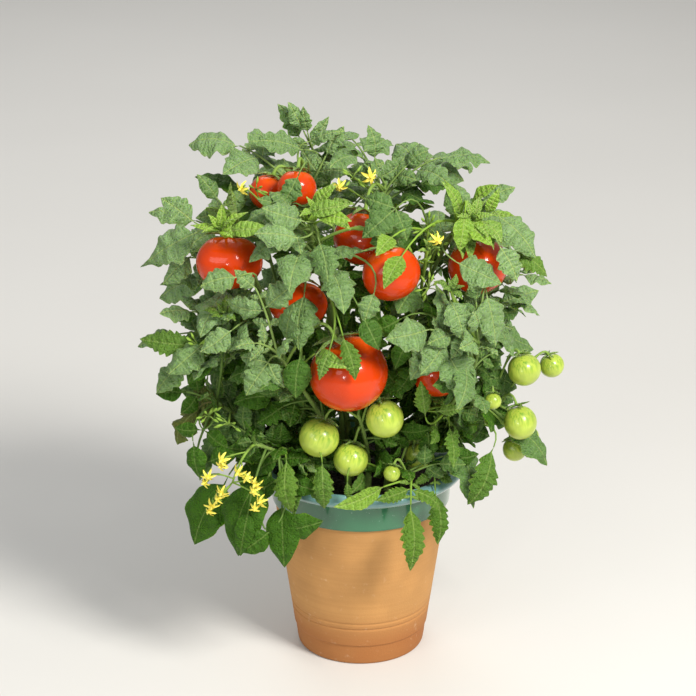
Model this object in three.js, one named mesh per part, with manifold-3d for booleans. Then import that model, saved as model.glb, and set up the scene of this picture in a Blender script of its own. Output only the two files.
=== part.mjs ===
// A bush tomato growing in a clay pot with a glazed rim.
// Sizes are in millimetres, +Z is up, -Y is the front, and the origin is the middle of the pot's foot.
import * as THREE from 'three';
import { mergeVertices } from 'three/addons/utils/BufferGeometryUtils.js';
import Module from 'manifold-3d';

const wasm = await Module();
wasm.setup();

// The pot
const RIM_RADIUS = 100;
const RIM_HEIGHT = 186.5;
const POT_HEIGHT = 193.8;
const FOOT_RADIUS = 61;
const FLOOR_THICKNESS = 12;
const INNER_FLOOR_RADIUS = 56.5;
const INNER_NECK_RADIUS = 80;
const INNER_NECK_HEIGHT = 176;
const POT_SIDES = 30;
const DRAIN_RADIUS = 5;
const DRAIN_RING = 30;
const DRAIN_COUNT = 3;

// The soil
const SOIL_EDGE_HEIGHT = 171.5;
const SOIL_CROWN_HEIGHT = 176;
const SOIL_BUMP = 1.2;
const HOLE_RADIUS = 4.8;
const HOLE_LENGTH = 50;

// Gaps and thicknesses
const GAP = 0.35;
const BLADE_HALF = 0.7;
const RACHIS_HALF = 0.9;
const RACHIS_HALF_WIDTH = 1.2;
const NOTCH_HALF = 1.7;

// The stems
const ROOT_DEPTH = 150;
const STEM_FOOT_HEIGHT = 178;
const STEM_FOOT_RADIUS = 3.4;
const STEM_TIP_RADIUS = 1.4;
const STEM_SIDES = 5;
const STEM_STEPS = 5;
const STALK_STEPS = 4;
const STALK_LEAD = { red: 16, green: 8 };
const SEPALS = 5;
const PETALS = 5;

// The crown of leaves, as an egg shape that the leaf tips reach
const CROWN_MIDDLE = new THREE.Vector3(-12, 0, 345);
const CROWN_REACH = new THREE.Vector3(190, 162, 180);

// Each leafy stem: its name, the root's ring radius and bearing in degrees, a point that it bends
// towards, and its end. Bearing 0 is right, 90 is back and -90 is front.
const STEMS = [
  ['stem_crown_left', 20, 150, [-25, 15, 360], [-50, 15, 448]],
  ['stem_crown_centre', 20, 30, [12, 20, 370], [22, 22, 458]],
  ['stem_back_high', 20, 95, [-18, 38, 360], [-34, 62, 452]],
  ['stem_centre_front', 20, -120, [-30, -40, 350], [-48, -64, 452]],
  ['stem_upper_right', 20, -30, [45, -15, 350], [88, -28, 438]],
  ['stem_upper_left', 46, 165, [-85, 0, 320], [-112, -12, 422]],
  ['stem_right_high', 46, 15, [85, 0, 290], [130, -8, 385]],
  ['stem_mid_right', 46, -35, [110, -42, 270], [105, -100, 350]],
  ['stem_right_low', 46, -10, [90, -20, 235], [134, -26, 262]],
  ['stem_mid_left', 46, 190, [-85, -30, 270], [-125, -48, 350]],
  ['stem_mid_front', 46, -105, [-42, -66, 270], [-76, -110, 343]],
  ['stem_left_low', 46, 212, [-90, -42, 230], [-134, -55, 272]],
  ['stem_front_left_low', 46, -130, [-62, -72, 225], [-98, -98, 248]],
  ['stem_front_low', 46, -82, [10, -60, 220], [-3, -80, 270]],
  ['stem_front_right_low', 46, -58, [32, -62, 216], [46, -86, 208]],
  ['stem_back_left', 46, 138, [-66, 48, 280], [-92, 66, 392]],
  ['stem_back_middle', 46, 88, [10, 66, 280], [22, 84, 390]],
  ['stem_back_right', 46, 46, [66, 44, 280], [92, 58, 388]],
];

// Each fruit: its name, its stem, how far up that stem its stalk starts, its middle, its radius,
// how tall it is against its width, and how deep its ribs are.
const RED_TOMATOES = [
  ['tomato_red_crown_right', 'stem_crown_left', 0.98, [-59, -30, 472], 18.5, 0.9, 0.02],
  ['tomato_red_crown_left', 'stem_crown_left', 0.94, [-86, -4, 459], 18, 0.9, 0.03],
  ['tomato_red_upper_left', 'stem_upper_left', 0.98, [-120, -75, 417], 31, 0.8, 0.07],
  ['tomato_red_upper_middle', 'stem_crown_centre', 0.98, [1, -42, 428], 28, 0.88, 0.03],
  ['tomato_red_upper_front', 'stem_centre_front', 0.92, [26, -94, 413], 27, 0.9, 0.03],
  ['tomato_red_upper_right', 'stem_upper_right', 0.98, [106, -44, 402], 29, 0.88, 0.03],
  ['tomato_red_middle', 'stem_centre_front', 0.88, [-58, -80, 379], 27.5, 0.8, 0.05],
  ['tomato_red_front', 'stem_mid_front', 0.93, [-12, -105, 321], 37, 0.92, 0.02],
  ['tomato_red_right', 'stem_mid_right', 0.87, [69, -62, 304], 24, 0.9, 0.03],
];
const GREEN_TOMATOES = [
  ['tomato_green_front_left', 'stem_front_low', 0.96, [-39, -92, 252], 19, 0.95, 0.02],
  ['tomato_green_front_middle', 'stem_front_low', 0.88, [-10, -85, 227], 16.6, 0.95, 0.02],
  ['tomato_green_front_upper', 'stem_front_low', 0.92, [21, -95, 272], 18, 0.97, 0.02],
  ['tomato_green_front_right', 'stem_front_right_low', 0.7, [54, -50, 216], 14.5, 0.95, 0.02],
  ['tomato_green_front_small', 'stem_front_right_low', 0.9, [28, -92, 216], 8, 0.95, 0],
  ['tomato_green_side_upper', 'stem_right_low', 0.9, [151, -40, 298], 16, 0.95, 0.02],
  ['tomato_green_side_outer', 'stem_right_low', 0.98, [179, -10, 290], 12, 0.95, 0.02],
  ['tomato_green_side_lower', 'stem_right_low', 0.96, [148, -48, 248], 16, 1.0, 0.02],
  ['tomato_green_side_back', 'stem_right_low', 0.94, [161, 0, 213], 9, 0.95, 0],
  ['tomato_green_side_bottom', 'stem_right_low', 0.88, [145, -28, 212], 12, 0.95, 0.02],
  ['tomato_green_side_small', 'stem_right_low', 0.9, [121, -70, 279], 8, 0.95, 0],
];

// Each bloom: its name, its stem, how far up that stem its stalk starts, its middle and its radius
const BLOOMS = [
  ['bloom_top_right', 'stem_crown_centre', 0.97, [8, -46, 488], 9],
  ['bloom_top_left', 'stem_crown_centre', 0.9, [-20, -44, 478], 8],
  ['bloom_upper_left', 'stem_crown_left', 0.7, [-108, -50, 478], 8],
  ['bloom_right', 'stem_upper_right', 0.7, [67, -92, 444], 8],
  ['bloom_spray_1', 'stem_front_left_low', 1.0, [-127, -118, 241], 8],
  ['bloom_spray_2', 'stem_front_left_low', 0.97, [-112, -128, 233], 8],
  ['bloom_spray_3', 'stem_front_left_low', 0.95, [-140, -112, 222], 7.5],
  ['bloom_spray_4', 'stem_front_left_low', 0.93, [-127, -130, 214], 8],
  ['bloom_spray_5', 'stem_front_left_low', 0.9, [-137, -118, 195], 7.5],
  ['bloom_spray_6', 'stem_front_left_low', 0.88, [-97, -122, 219], 8],
  ['bloom_spray_7', 'stem_front_left_low', 0.85, [-92, -122, 201], 7.5],
];

// Each leaf: its stem, how far up that stem it starts, its tip, its pairs of side leaflets, how much
// it arches, and its look: m mature, y young, s slender, d dark and smooth-edged, o olive and ageing.
// A leaf keeps clear of those above it in the list.
const LEAVES = [
  ['stem_crown_left', 0.85, [-134, 0, 494], 1, 0.2, 'd'],
  ['stem_crown_left', 1.0, [-16, 30, 512], 1, 0.15, 'm'],
  ['stem_crown_left', 0.75, [-122, 20, 470], 1, 0.2, 'm'],
  ['stem_crown_centre', 0.97, [62, 30, 488], 1, 0.2, 'm'],
  ['stem_crown_centre', 0.92, [6, 34, 512], 1, 0.15, 'm'],
  ['stem_crown_centre', 0.85, [58, -40, 458], 1, 0.25, 'd'],
  ['stem_upper_left', 0.99, [-158, 5, 468], 1, 0.15, 'm'],
  ['stem_upper_left', 0.95, [-184, -22, 462], 1, 0.2, 'm'],
  ['stem_upper_left', 0.85, [-196, -50, 410], 2, 0.25, 'm'],
  ['stem_upper_left', 0.7, [-184, -52, 386], 1, 0.25, 'm'],
  ['stem_upper_left', 1.0, [-118, -42, 482], 0, 0.1, 'y'],
  ['stem_upper_left', 0.97, [-146, -62, 458], 0, 0.2, 'y'],
  ['stem_centre_front', 1.0, [-30, -130, 418], 0, 0.35, 'm'],
  ['stem_centre_front', 0.97, [-100, -112, 430], 1, 0.3, 'm'],
  ['stem_centre_front', 0.93, [-64, -132, 409], 0, 0.35, 'm'],
  ['stem_centre_front', 1.0, [-6, -84, 475], 0, 0.2, 'y'],
  ['stem_centre_front', 0.98, [-10, -104, 458], 0, 0.3, 'y'],
  ['stem_centre_front', 1.0, [-24, -62, 488], 0, 0.05, 'y'],
  ['stem_centre_front', 0.95, [-98, -66, 470], 0, 0.2, 'm'],
  ['stem_upper_right', 0.8, [145, -20, 462], 2, 0.35, 'm'],
  ['stem_upper_right', 1.0, [74, -42, 484], 0, 0.05, 'y'],
  ['stem_upper_right', 1.0, [124, -40, 478], 0, 0.05, 'y'],
  ['stem_upper_right', 0.98, [142, -48, 440], 1, 0.3, 'y'],
  ['stem_upper_right', 0.95, [90, -86, 424], 0, 0.3, 'y'],
  ['stem_right_high', 1.0, [160, -36, 407], 1, 0.25, 'm'],
  ['stem_right_high', 0.95, [176, -28, 386], 1, 0.3, 'm'],
  ['stem_right_high', 0.9, [150, -58, 389], 0, 0.3, 'm'],
  ['stem_right_high', 0.85, [163, -52, 356], 1, 0.25, 'm'],
  ['stem_right_high', 0.7, [168, 30, 350], 1, 0.3, 'm'],
  ['stem_mid_right', 1.0, [98, -124, 388], 0, 0.2, 'm'],
  ['stem_mid_right', 0.98, [86, -142, 360], 0, 0.3, 'm'],
  ['stem_mid_right', 0.95, [122, -114, 342], 1, 0.35, 'm'],
  ['stem_mid_right', 0.88, [84, -154, 306], 1, 0.5, 'm'],
  ['stem_mid_right', 0.92, [20, -150, 372], 1, 0.3, 'm'],
  ['stem_mid_right', 0.75, [54, -126, 320], 1, 0.2, 'd'],
  ['stem_mid_right', 0.7, [95, -120, 286], 1, 0.3, 'm'],
  ['stem_mid_right', 0.55, [84, -108, 228], 1, 0.4, 'm'],
  ['stem_right_low', 0.6, [94, -90, 178], 1, 0.6, 'm'],
  ['stem_right_low', 0.8, [128, -92, 258], 1, 0.3, 'd'],
  ['stem_mid_left', 1.0, [-172, -40, 347], 1, 0.2, 'd'],
  ['stem_mid_left', 0.98, [-128, -110, 374], 1, 0.3, 'm'],
  ['stem_mid_left', 0.92, [-206, -60, 334], 2, 0.2, 'm'],
  ['stem_mid_left', 0.85, [-176, -86, 316], 1, 0.3, 'm'],
  ['stem_mid_left', 1.0, [-154, -94, 398], 1, 0.15, 'm'],
  ['stem_mid_front', 1.0, [-112, -134, 358], 1, 0.3, 'm'],
  ['stem_mid_front', 0.97, [-66, -150, 360], 0, 0.4, 'm'],
  ['stem_mid_front', 0.95, [-60, -130, 398], 0, 0.1, 'm'],
  ['stem_mid_front', 0.85, [-8, -152, 333], 0, 0.5, 'y'],
  ['stem_mid_front', 0.75, [-84, -136, 324], 1, 0.3, 'd'],
  ['stem_mid_front', 0.6, [-98, -126, 288], 1, 0.3, 'd'],
  ['stem_left_low', 1.0, [-190, -60, 282], 1, 0.2, 'd'],
  ['stem_left_low', 0.97, [-178, -62, 236], 1, 0.6, 'o'],
  ['stem_left_low', 0.9, [-170, -30, 248], 0, 0.3, 'o'],
  ['stem_left_low', 0.85, [-150, -78, 202], 1, 0.5, 'm'],
  ['stem_left_low', 1.0, [-146, -94, 290], 1, 0.3, 'd'],
  ['stem_left_low', 0.6, [-168, 24, 236], 1, 0.3, 'm'],
  ['stem_front_left_low', 1.0, [-98, -134, 270], 1, 0.4, 'd'],
  ['stem_front_left_low', 0.8, [-114, -106, 138], 0, 0.6, 'd'],
  ['stem_front_left_low', 0.6, [-62, -112, 182], 0, 0.5, 'm'],
  ['stem_mid_front', 0.55, [-52, -108, 284], 1, 0.3, 'd'],
  ['stem_front_left_low', 0.5, [-34, -113, 190], 0, 0.7, 'm'],
  ['stem_front_right_low', 1.0, [42, -116, 128], 1, 0.5, 'm'],
  ['stem_back_high', 1.0, [-68, 50, 530], 2, 0.05, 'm'],
  ['stem_back_high', 1.0, [-113, 40, 478], 1, 0.1, 'm'],
  ['stem_upper_right', 1.0, [118, -82, 431], 0, 0.5, 'y'],
  ['stem_upper_right', 1.0, [97, -86, 421], 0, 0.5, 'y'],
  ['stem_mid_right', 1.0, [100, -92, 416], 1, 0.1, 'm'],
  ['stem_upper_right', 0.9, [12, -134, 444], 0, 0.35, 'y'],
  ['stem_upper_right', 1.0, [19, -134, 413], 0, 0.35, 'y'],
  ['stem_upper_right', 0.92, [7, -78, 436], 0, 0.3, 'm'],
  ['stem_centre_front', 0.9, [-56, -124, 351], 0, 0.5, 'm'],
  ['stem_mid_left', 0.9, [-103, -120, 354], 0, 0.3, 'm'],
  ['stem_upper_left', 0.8, [-145, -104, 355], 0, 0.5, 'm'],
  ['stem_mid_front', 1.0, [-113, -114, 424], 1, 0.5, 'm'],
  ['stem_crown_left', 0.8, [-67, -54, 464], 0, 0.1, 'm'],
  ['stem_centre_front', 1.0, [-103, -96, 461], 1, 0.4, 'm'],
  ['stem_centre_front', 0.9, [-16, -136, 390], 1, 0.35, 'm'],
  ['stem_crown_centre', 1.0, [-29, -30, 491], 1, 0.5, 'm'],
  ['stem_upper_right', 0.8, [32, -100, 377], 0, 0.1, 'm'],
  ['stem_mid_right', 1.0, [58, -130, 359], 1, 0.3, 'm'],
  ['stem_right_high', 0.9, [89, -90, 353], 0, 0.05, 'm'],
  ['stem_right_high', 0.8, [128, -80, 324], 0, 0.5, 'm'],
  ['stem_mid_right', 0.5, [63, -100, 249], 1, 0.2, 'm'],
  ['stem_right_low', 0.9, [175, -40, 200], 0, 0.1, 'm'],
  ['stem_mid_right', 0.4, [71, -90, 142], 1, 0.6, 's'],
  ['stem_front_right_low', 1.0, [-26, -120, 195], 0, 0.05, 'y'],
  ['stem_front_low', 0.3, [-11, -96, 197], 0, 0.5, 's'],
  ['stem_left_low', 0.6, [-156, -80, 137], 1, 0.4, 'd'],
  ['stem_front_left_low', 0.8, [-71, -120, 133], 2, 0.4, 'd'],
];

// Leaves placed by rule fill the back and the foot of the crown. Each group has how many,
// the bearing that it starts at and how far it sweeps round, its lowest and highest place on the
// crown's egg shape, how far out its tips are, its leaf length, how much it arches and its look.
const RULED_LEAVES = [
  [19, -4, 190, -0.72, 0.86, 0.96, 106, 0.42, 'm'],
  [7, -14, 226, -0.9, -0.68, 1, 92, 0.42, 'd'],
];
const GOLDEN = 0.6180339887;
const BASE_RISE = 10;

// Leaflet outlines, as how far along and how far out from the rib, in leaflet lengths
const TOOTHED_SIDE = [[0.13, 0.26], [0.35, 0.34], [0.64, 0.25]];
const SMOOTH_SIDE = [[0.2, 0.32], [0.58, 0.3]];
const TOOTHED_END = [[0.12, 0.31], [0.27, 0.25], [0.42, 0.37], [0.66, 0.22]];
const SMOOTH_END = [[0.14, 0.31], [0.42, 0.37], [0.74, 0.22]];
const SLIM_WIDTH = 0.72;
const HEART = 0.42;
const BLADE_ARCH = 0.06;
const BLADE_FOLD = 0.22;

// How the end leaflet's length follows the leaf's, by the number of side pairs
const END_SHARE = [0.72, 0.5, 0.42];
const END_LENGTH_LIMIT = [52, 54, 56];
const PAIR_START = 0.42;
const PAIR_STEP = 0.56;
const SIDE_LENGTHS = [0.88, 0.7];
const SIDE_BEARINGS = [66, 76];
const SIDE_DROOP = 0.18;

// Small turns, in degrees, and shrinking that bend a leaf clear of its neighbours
const BEND_SCALES = [1, 0.86, 0.72, 0.6];
const BEND_ANGLES = [0, 8, 16, 24, 34];

const UP = new THREE.Vector3(0, 0, 1);
const FRONT = new THREE.Vector3(0, -1, 0);
const radians = THREE.MathUtils.degToRad;

// Solids

function solidFromArrays(positions, indices) {
  const mesh = new wasm.Mesh({
    numProp: 3,
    vertProperties: new Float32Array(positions),
    triVerts: new Uint32Array(indices),
  });
  return new wasm.Manifold(mesh);
}

function solidFromGeometry(geometry) {
  geometry.deleteAttribute('normal');
  geometry.deleteAttribute('uv');
  const merged = mergeVertices(geometry, 1e-4);
  return solidFromArrays(merged.attributes.position.array, merged.index.array);
}

function geometryFromSolid(solid) {
  const mesh = solid.getMesh();
  const geometry = new THREE.BufferGeometry();
  geometry.setAttribute('position', new THREE.BufferAttribute(new Float32Array(mesh.vertProperties), 3));
  geometry.setIndex(new THREE.BufferAttribute(new Uint32Array(mesh.triVerts), 1));
  geometry.computeVertexNormals();
  return geometry;
}

// A thin closed blade: both faces share its edge points, and a rib point is doubled to give thickness

class Blade {
  constructor() {
    this.positions = [];
    this.indices = [];
  }

  point(place) {
    this.positions.push(place.x, place.y, place.z);
    return this.positions.length / 3 - 1;
  }

  edge(place) {
    const index = this.point(place);
    return { top: index, under: index };
  }

  rib(place, normal, half) {
    return {
      top: this.point(place.clone().addScaledVector(normal, half)),
      under: this.point(place.clone().addScaledVector(normal, -half)),
    };
  }

  face(a, b, c) {
    this.indices.push(a.top, b.top, c.top, a.under, c.under, b.under);
  }

  solid() {
    return solidFromArrays(this.positions, this.indices);
  }
}

// Round sweeps for stems and stalks, closed to a point at the far end

function sweep(points, radii, sides) {
  const positions = [];
  const indices = [];
  const place = (point) => {
    positions.push(point.x, point.y, point.z);
    return positions.length / 3 - 1;
  };
  const last = points.length - 1;
  const across = new THREE.Vector3(1, 0, 0);
  const rings = points.slice(0, last).map((point, i) => {
    const along = points[i + 1].clone().sub(points[Math.max(i - 1, 0)]).normalize();
    across.addScaledVector(along, -across.dot(along)).normalize();
    const other = along.clone().cross(across);
    return Array.from({ length: sides }, (unused, k) => {
      const turn = (2 * Math.PI * k) / sides;
      const spoke = point.clone();
      spoke.addScaledVector(across, radii[i] * Math.cos(turn));
      spoke.addScaledVector(other, radii[i] * Math.sin(turn));
      return place(spoke);
    });
  });
  const foot = place(points[0]);
  const tip = place(points[last]);
  for (let k = 0; k < sides; k += 1) {
    const next = (k + 1) % sides;
    indices.push(foot, rings[0][next], rings[0][k]);
    indices.push(tip, rings[last - 1][k], rings[last - 1][next]);
    for (let i = 0; i + 1 < last; i += 1) {
      indices.push(rings[i][k], rings[i][next], rings[i + 1][next]);
      indices.push(rings[i][k], rings[i + 1][next], rings[i + 1][k]);
    }
  }
  return solidFromArrays(positions, indices);
}

// A star of pointed sepals or petals round an axis

function star(middle, axis, count, radius, notchRadius, drop, peak, base) {
  const blade = new Blade();
  const side = new THREE.Vector3(1, 0, 0).cross(axis).normalize();
  const other = axis.clone().cross(side);
  const spoke = (turn, reach, fall) => {
    const place = middle.clone().addScaledVector(axis, -fall);
    place.addScaledVector(side, reach * Math.cos(turn));
    return place.addScaledVector(other, reach * Math.sin(turn));
  };
  const heart = {
    top: blade.point(middle.clone().addScaledVector(axis, peak)),
    under: blade.point(middle.clone().addScaledVector(axis, -base)),
  };
  const step = (2 * Math.PI) / count;
  const tips = [];
  const notches = [];
  for (let k = 0; k < count; k += 1) {
    tips.push(blade.edge(spoke(k * step, radius, drop)));
    notches.push(blade.edge(spoke((k + 0.5) * step, notchRadius, 0)));
  }
  for (let k = 0; k < count; k += 1) {
    blade.face(heart, tips[k], notches[k]);
    blade.face(heart, notches[k], tips[(k + 1) % count]);
  }
  return blade.solid();
}

// The pot and its soil

function innerRadiusAt(height) {
  const rise = (height - FLOOR_THICKNESS) / (INNER_NECK_HEIGHT - FLOOR_THICKNESS);
  return INNER_FLOOR_RADIUS + (INNER_NECK_RADIUS - INNER_FLOOR_RADIUS) * rise;
}

function lathed(profile) {
  const points = profile.map(([radius, height]) => new THREE.Vector2(radius, height));
  return new THREE.LatheGeometry(points, POT_SIDES).rotateX(Math.PI / 2);
}

function drainHole(turn) {
  const hole = new THREE.CylinderGeometry(DRAIN_RADIUS, DRAIN_RADIUS, 3 * FLOOR_THICKNESS, 8);
  hole.rotateX(Math.PI / 2);
  hole.translate(DRAIN_RING * Math.cos(turn), DRAIN_RING * Math.sin(turn), 0);
  return solidFromGeometry(hole);
}

function pot() {
  const outside = [
    [0, 0], [FOOT_RADIUS - 3.5, 0], [FOOT_RADIUS, 2.2], [62, 8], [63.3, 20], [64.6, 21.6],
    [66.9, 38.5], [66.1, 40], [67.4, 41.5],
  ];
  const band = [[83, 152.5], [85.2, 154.5], [86.6, 177.5], [89.5, 179.2]];
  const lip = [
    [98.2, 182.6], [RIM_RADIUS, RIM_HEIGHT], [97.6, 190.6], [93.4, POT_HEIGHT], [90.6, 191.8],
    [85, 184.6],
  ];
  const inside = [
    [INNER_NECK_RADIUS, INNER_NECK_HEIGHT], [INNER_FLOOR_RADIUS, FLOOR_THICKNESS],
    [0, FLOOR_THICKNESS],
  ];
  let clay = solidFromGeometry(lathed([...outside, ...band, ...lip, ...inside]));
  for (let k = 0; k < DRAIN_COUNT; k += 1) {
    clay = clay.subtract(drainHole(radians(90) + (k * 2 * Math.PI) / DRAIN_COUNT));
  }
  return clay;
}

function soil() {
  const clearance = GAP + 0.1;
  const low = FLOOR_THICKNESS + clearance;
  const profile = [
    [0, low], [innerRadiusAt(low) - clearance, low],
    [innerRadiusAt(SOIL_EDGE_HEIGHT) - clearance, SOIL_EDGE_HEIGHT],
    [62, SOIL_EDGE_HEIGHT + 2.2], [36, SOIL_CROWN_HEIGHT - 1], [0, SOIL_CROWN_HEIGHT],
  ];
  const heap = lathed(profile);
  const places = heap.attributes.position;
  for (let i = 0; i < places.count; i += 1) {
    const reach = Math.hypot(places.getX(i), places.getY(i));
    if (places.getZ(i) > SOIL_EDGE_HEIGHT + 1 && reach > 1) {
      const bump = Math.sin(places.getX(i) * 0.31) * Math.cos(places.getY(i) * 0.27);
      places.setZ(i, places.getZ(i) + SOIL_BUMP * bump);
    }
  }
  let peat = solidFromGeometry(heap);
  for (const [, ring, bearing] of STEMS) {
    const hole = new THREE.CylinderGeometry(HOLE_RADIUS, HOLE_RADIUS, HOLE_LENGTH, STEM_SIDES);
    hole.rotateX(Math.PI / 2);
    const middle = ROOT_DEPTH - GAP + HOLE_LENGTH / 2;
    hole.translate(ring * Math.cos(radians(bearing)), ring * Math.sin(radians(bearing)), middle);
    peat = peat.subtract(solidFromGeometry(hole));
  }
  return peat;
}

// Stems

function stemPath([, ring, bearing, via, end]) {
  const x = ring * Math.cos(radians(bearing));
  const y = ring * Math.sin(radians(bearing));
  const foot = new THREE.Vector3(x, y, STEM_FOOT_HEIGHT);
  const bend = new THREE.Vector3(...via);
  const rise = foot.clone();
  rise.z += (bend.z - foot.z) * 0.45;
  return new THREE.CubicBezierCurve3(foot, rise, bend, new THREE.Vector3(...end));
}

function stemTube(path) {
  const points = path.getPoints(STEM_STEPS);
  const radii = points.map((point, i) => {
    return STEM_FOOT_RADIUS + (STEM_TIP_RADIUS - STEM_FOOT_RADIUS) * (i / STEM_STEPS);
  });
  const root = points[0].clone().setZ(ROOT_DEPTH);
  const tip = points[STEM_STEPS].clone().addScaledVector(path.getTangent(1), 3);
  return sweep([root, ...points, tip], [STEM_FOOT_RADIUS, ...radii], STEM_SIDES);
}

function stalk(start, end, axis, thick, lead, sides) {
  const turn = end.clone().addScaledVector(axis, lead);
  const points = new THREE.QuadraticBezierCurve3(start, turn, end).getPoints(STALK_STEPS);
  points.push(end.clone().addScaledVector(axis, -0.5));
  return sweep(points, points.map(() => thick), sides);
}

// Fruits

function fruitAxis(centre, start) {
  const lean = start.clone().sub(centre).setZ(0);
  if (lean.length() > 1) {
    lean.normalize().multiplyScalar(0.35);
  }
  return lean.add(UP).normalize();
}

function fruit(centre, axis, radius, tall, ribs, around, down) {
  const skin = new THREE.SphereGeometry(radius, around, down).rotateX(Math.PI / 2);
  const places = skin.attributes.position;
  const spot = new THREE.Vector3();
  for (let i = 0; i < places.count; i += 1) {
    spot.fromBufferAttribute(places, i);
    const shoulder = 0.5 + (0.5 * spot.z) / radius;
    const belly = Math.hypot(spot.x, spot.y) / radius;
    const rib = 1 + ribs * belly * shoulder * Math.cos(5 * Math.atan2(spot.y, spot.x));
    const dimple = spot.z > 0 ? fruitDimple(radius) * Math.exp(-((belly / 0.32) ** 2)) : 0;
    places.setXYZ(i, spot.x * rib, spot.y * rib, spot.z * tall - dimple);
  }
  skin.applyQuaternion(new THREE.Quaternion().setFromUnitVectors(UP, axis));
  skin.translate(centre.x, centre.y, centre.z);
  return solidFromGeometry(skin);
}

function fruitDimple(radius) {
  return 0.11 * radius;
}

function calyxMiddle(centre, axis, radius, tall) {
  return centre.clone().addScaledVector(axis, radius * tall + 0.9);
}

function calyx(middle, axis, radius) {
  const base = fruitDimple(radius) + 0.9 - GAP;
  return star(middle, axis, SEPALS, radius * 0.62, radius * 0.16 + 1, radius * 0.06, 1, base);
}

// Blooms

function bloomAxis(centre) {
  const out = centre.clone().sub(CROWN_MIDDLE).setZ(0).normalize();
  return out.addScaledVector(FRONT, 0.5).addScaledVector(UP, -0.1).normalize();
}

function bloom(centre, axis, radius) {
  return star(centre, axis, PETALS, radius, radius * 0.34, radius * 0.35, radius * 0.7, 0.9);
}

// Leaves

function leafPath(base, tip, arch) {
  const reach = base.distanceTo(tip);
  const middle = base.clone().lerp(tip, 0.5);
  middle.z += arch * reach;
  return new THREE.QuadraticBezierCurve3(base, middle, tip);
}

function leafFacing(tip) {
  const out = tip.clone().sub(CROWN_MIDDLE).normalize();
  return out.multiplyScalar(0.7).addScaledVector(UP, 0.5).addScaledVector(FRONT, 0.2);
}

function leafFrame(path, facing, share) {
  const place = path.getPoint(share);
  const along = path.getTangent(share);
  const normal = facing.clone().addScaledVector(along, -facing.dot(along)).normalize();
  const right = along.clone().cross(normal);
  return { place, along, normal, right };
}

function addLeaflet(blade, heel, first, last, root, along, normal, length, outline) {
  const right = along.clone().cross(normal);
  const spot = (share, out) => {
    const place = root.clone().addScaledVector(along, length * share);
    const rise = BLADE_ARCH * 4 * share * (1 - share) + BLADE_FOLD * Math.abs(out) * (1 - share);
    place.addScaledVector(normal, length * rise);
    return place.addScaledVector(right, length * out);
  };
  const heart = blade.rib(spot(HEART, 0), normal, BLADE_HALF);
  const near = outline.map(([share, out]) => blade.edge(spot(share, out)));
  const far = outline.map(([share, out]) => blade.edge(spot(share, -out))).reverse();
  const ring = [heel, first, ...near, blade.edge(spot(1, 0)), ...far, last];
  ring.forEach((corner, i) => blade.face(heart, corner, ring[(i + 1) % ring.length]));
}

function addRachis(blade, from, to) {
  blade.face(from.rib, from.right, to.right);
  blade.face(from.rib, to.right, to.rib);
  blade.face(from.left, from.rib, to.rib);
  blade.face(from.left, to.rib, to.left);
}

function outlinesFor(look) {
  const side = look === 'd' ? SMOOTH_SIDE : TOOTHED_SIDE;
  const end = look === 'd' ? SMOOTH_END : TOOTHED_END;
  const width = look === 'y' || look === 's' ? SLIM_WIDTH : 1;
  const fitted = (outline) => outline.map(([share, out]) => [share, out * width]);
  return { side: fitted(side), end: fitted(end) };
}

function leafLayout(base, tip, pairs) {
  const reach = base.distanceTo(tip);
  const endLength = Math.min(END_SHARE[pairs] * reach, END_LENGTH_LIMIT[pairs]);
  const endShare = 1 - endLength / reach;
  const pairShares = [];
  for (let k = 0; k < pairs; k += 1) {
    pairShares.push(endShare - ((PAIR_START + PAIR_STEP * k) * endLength) / reach);
  }
  return { endLength, endShare, pairShares };
}

// A whole leaf, or without its stalk the part from the first leaflets on

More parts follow.
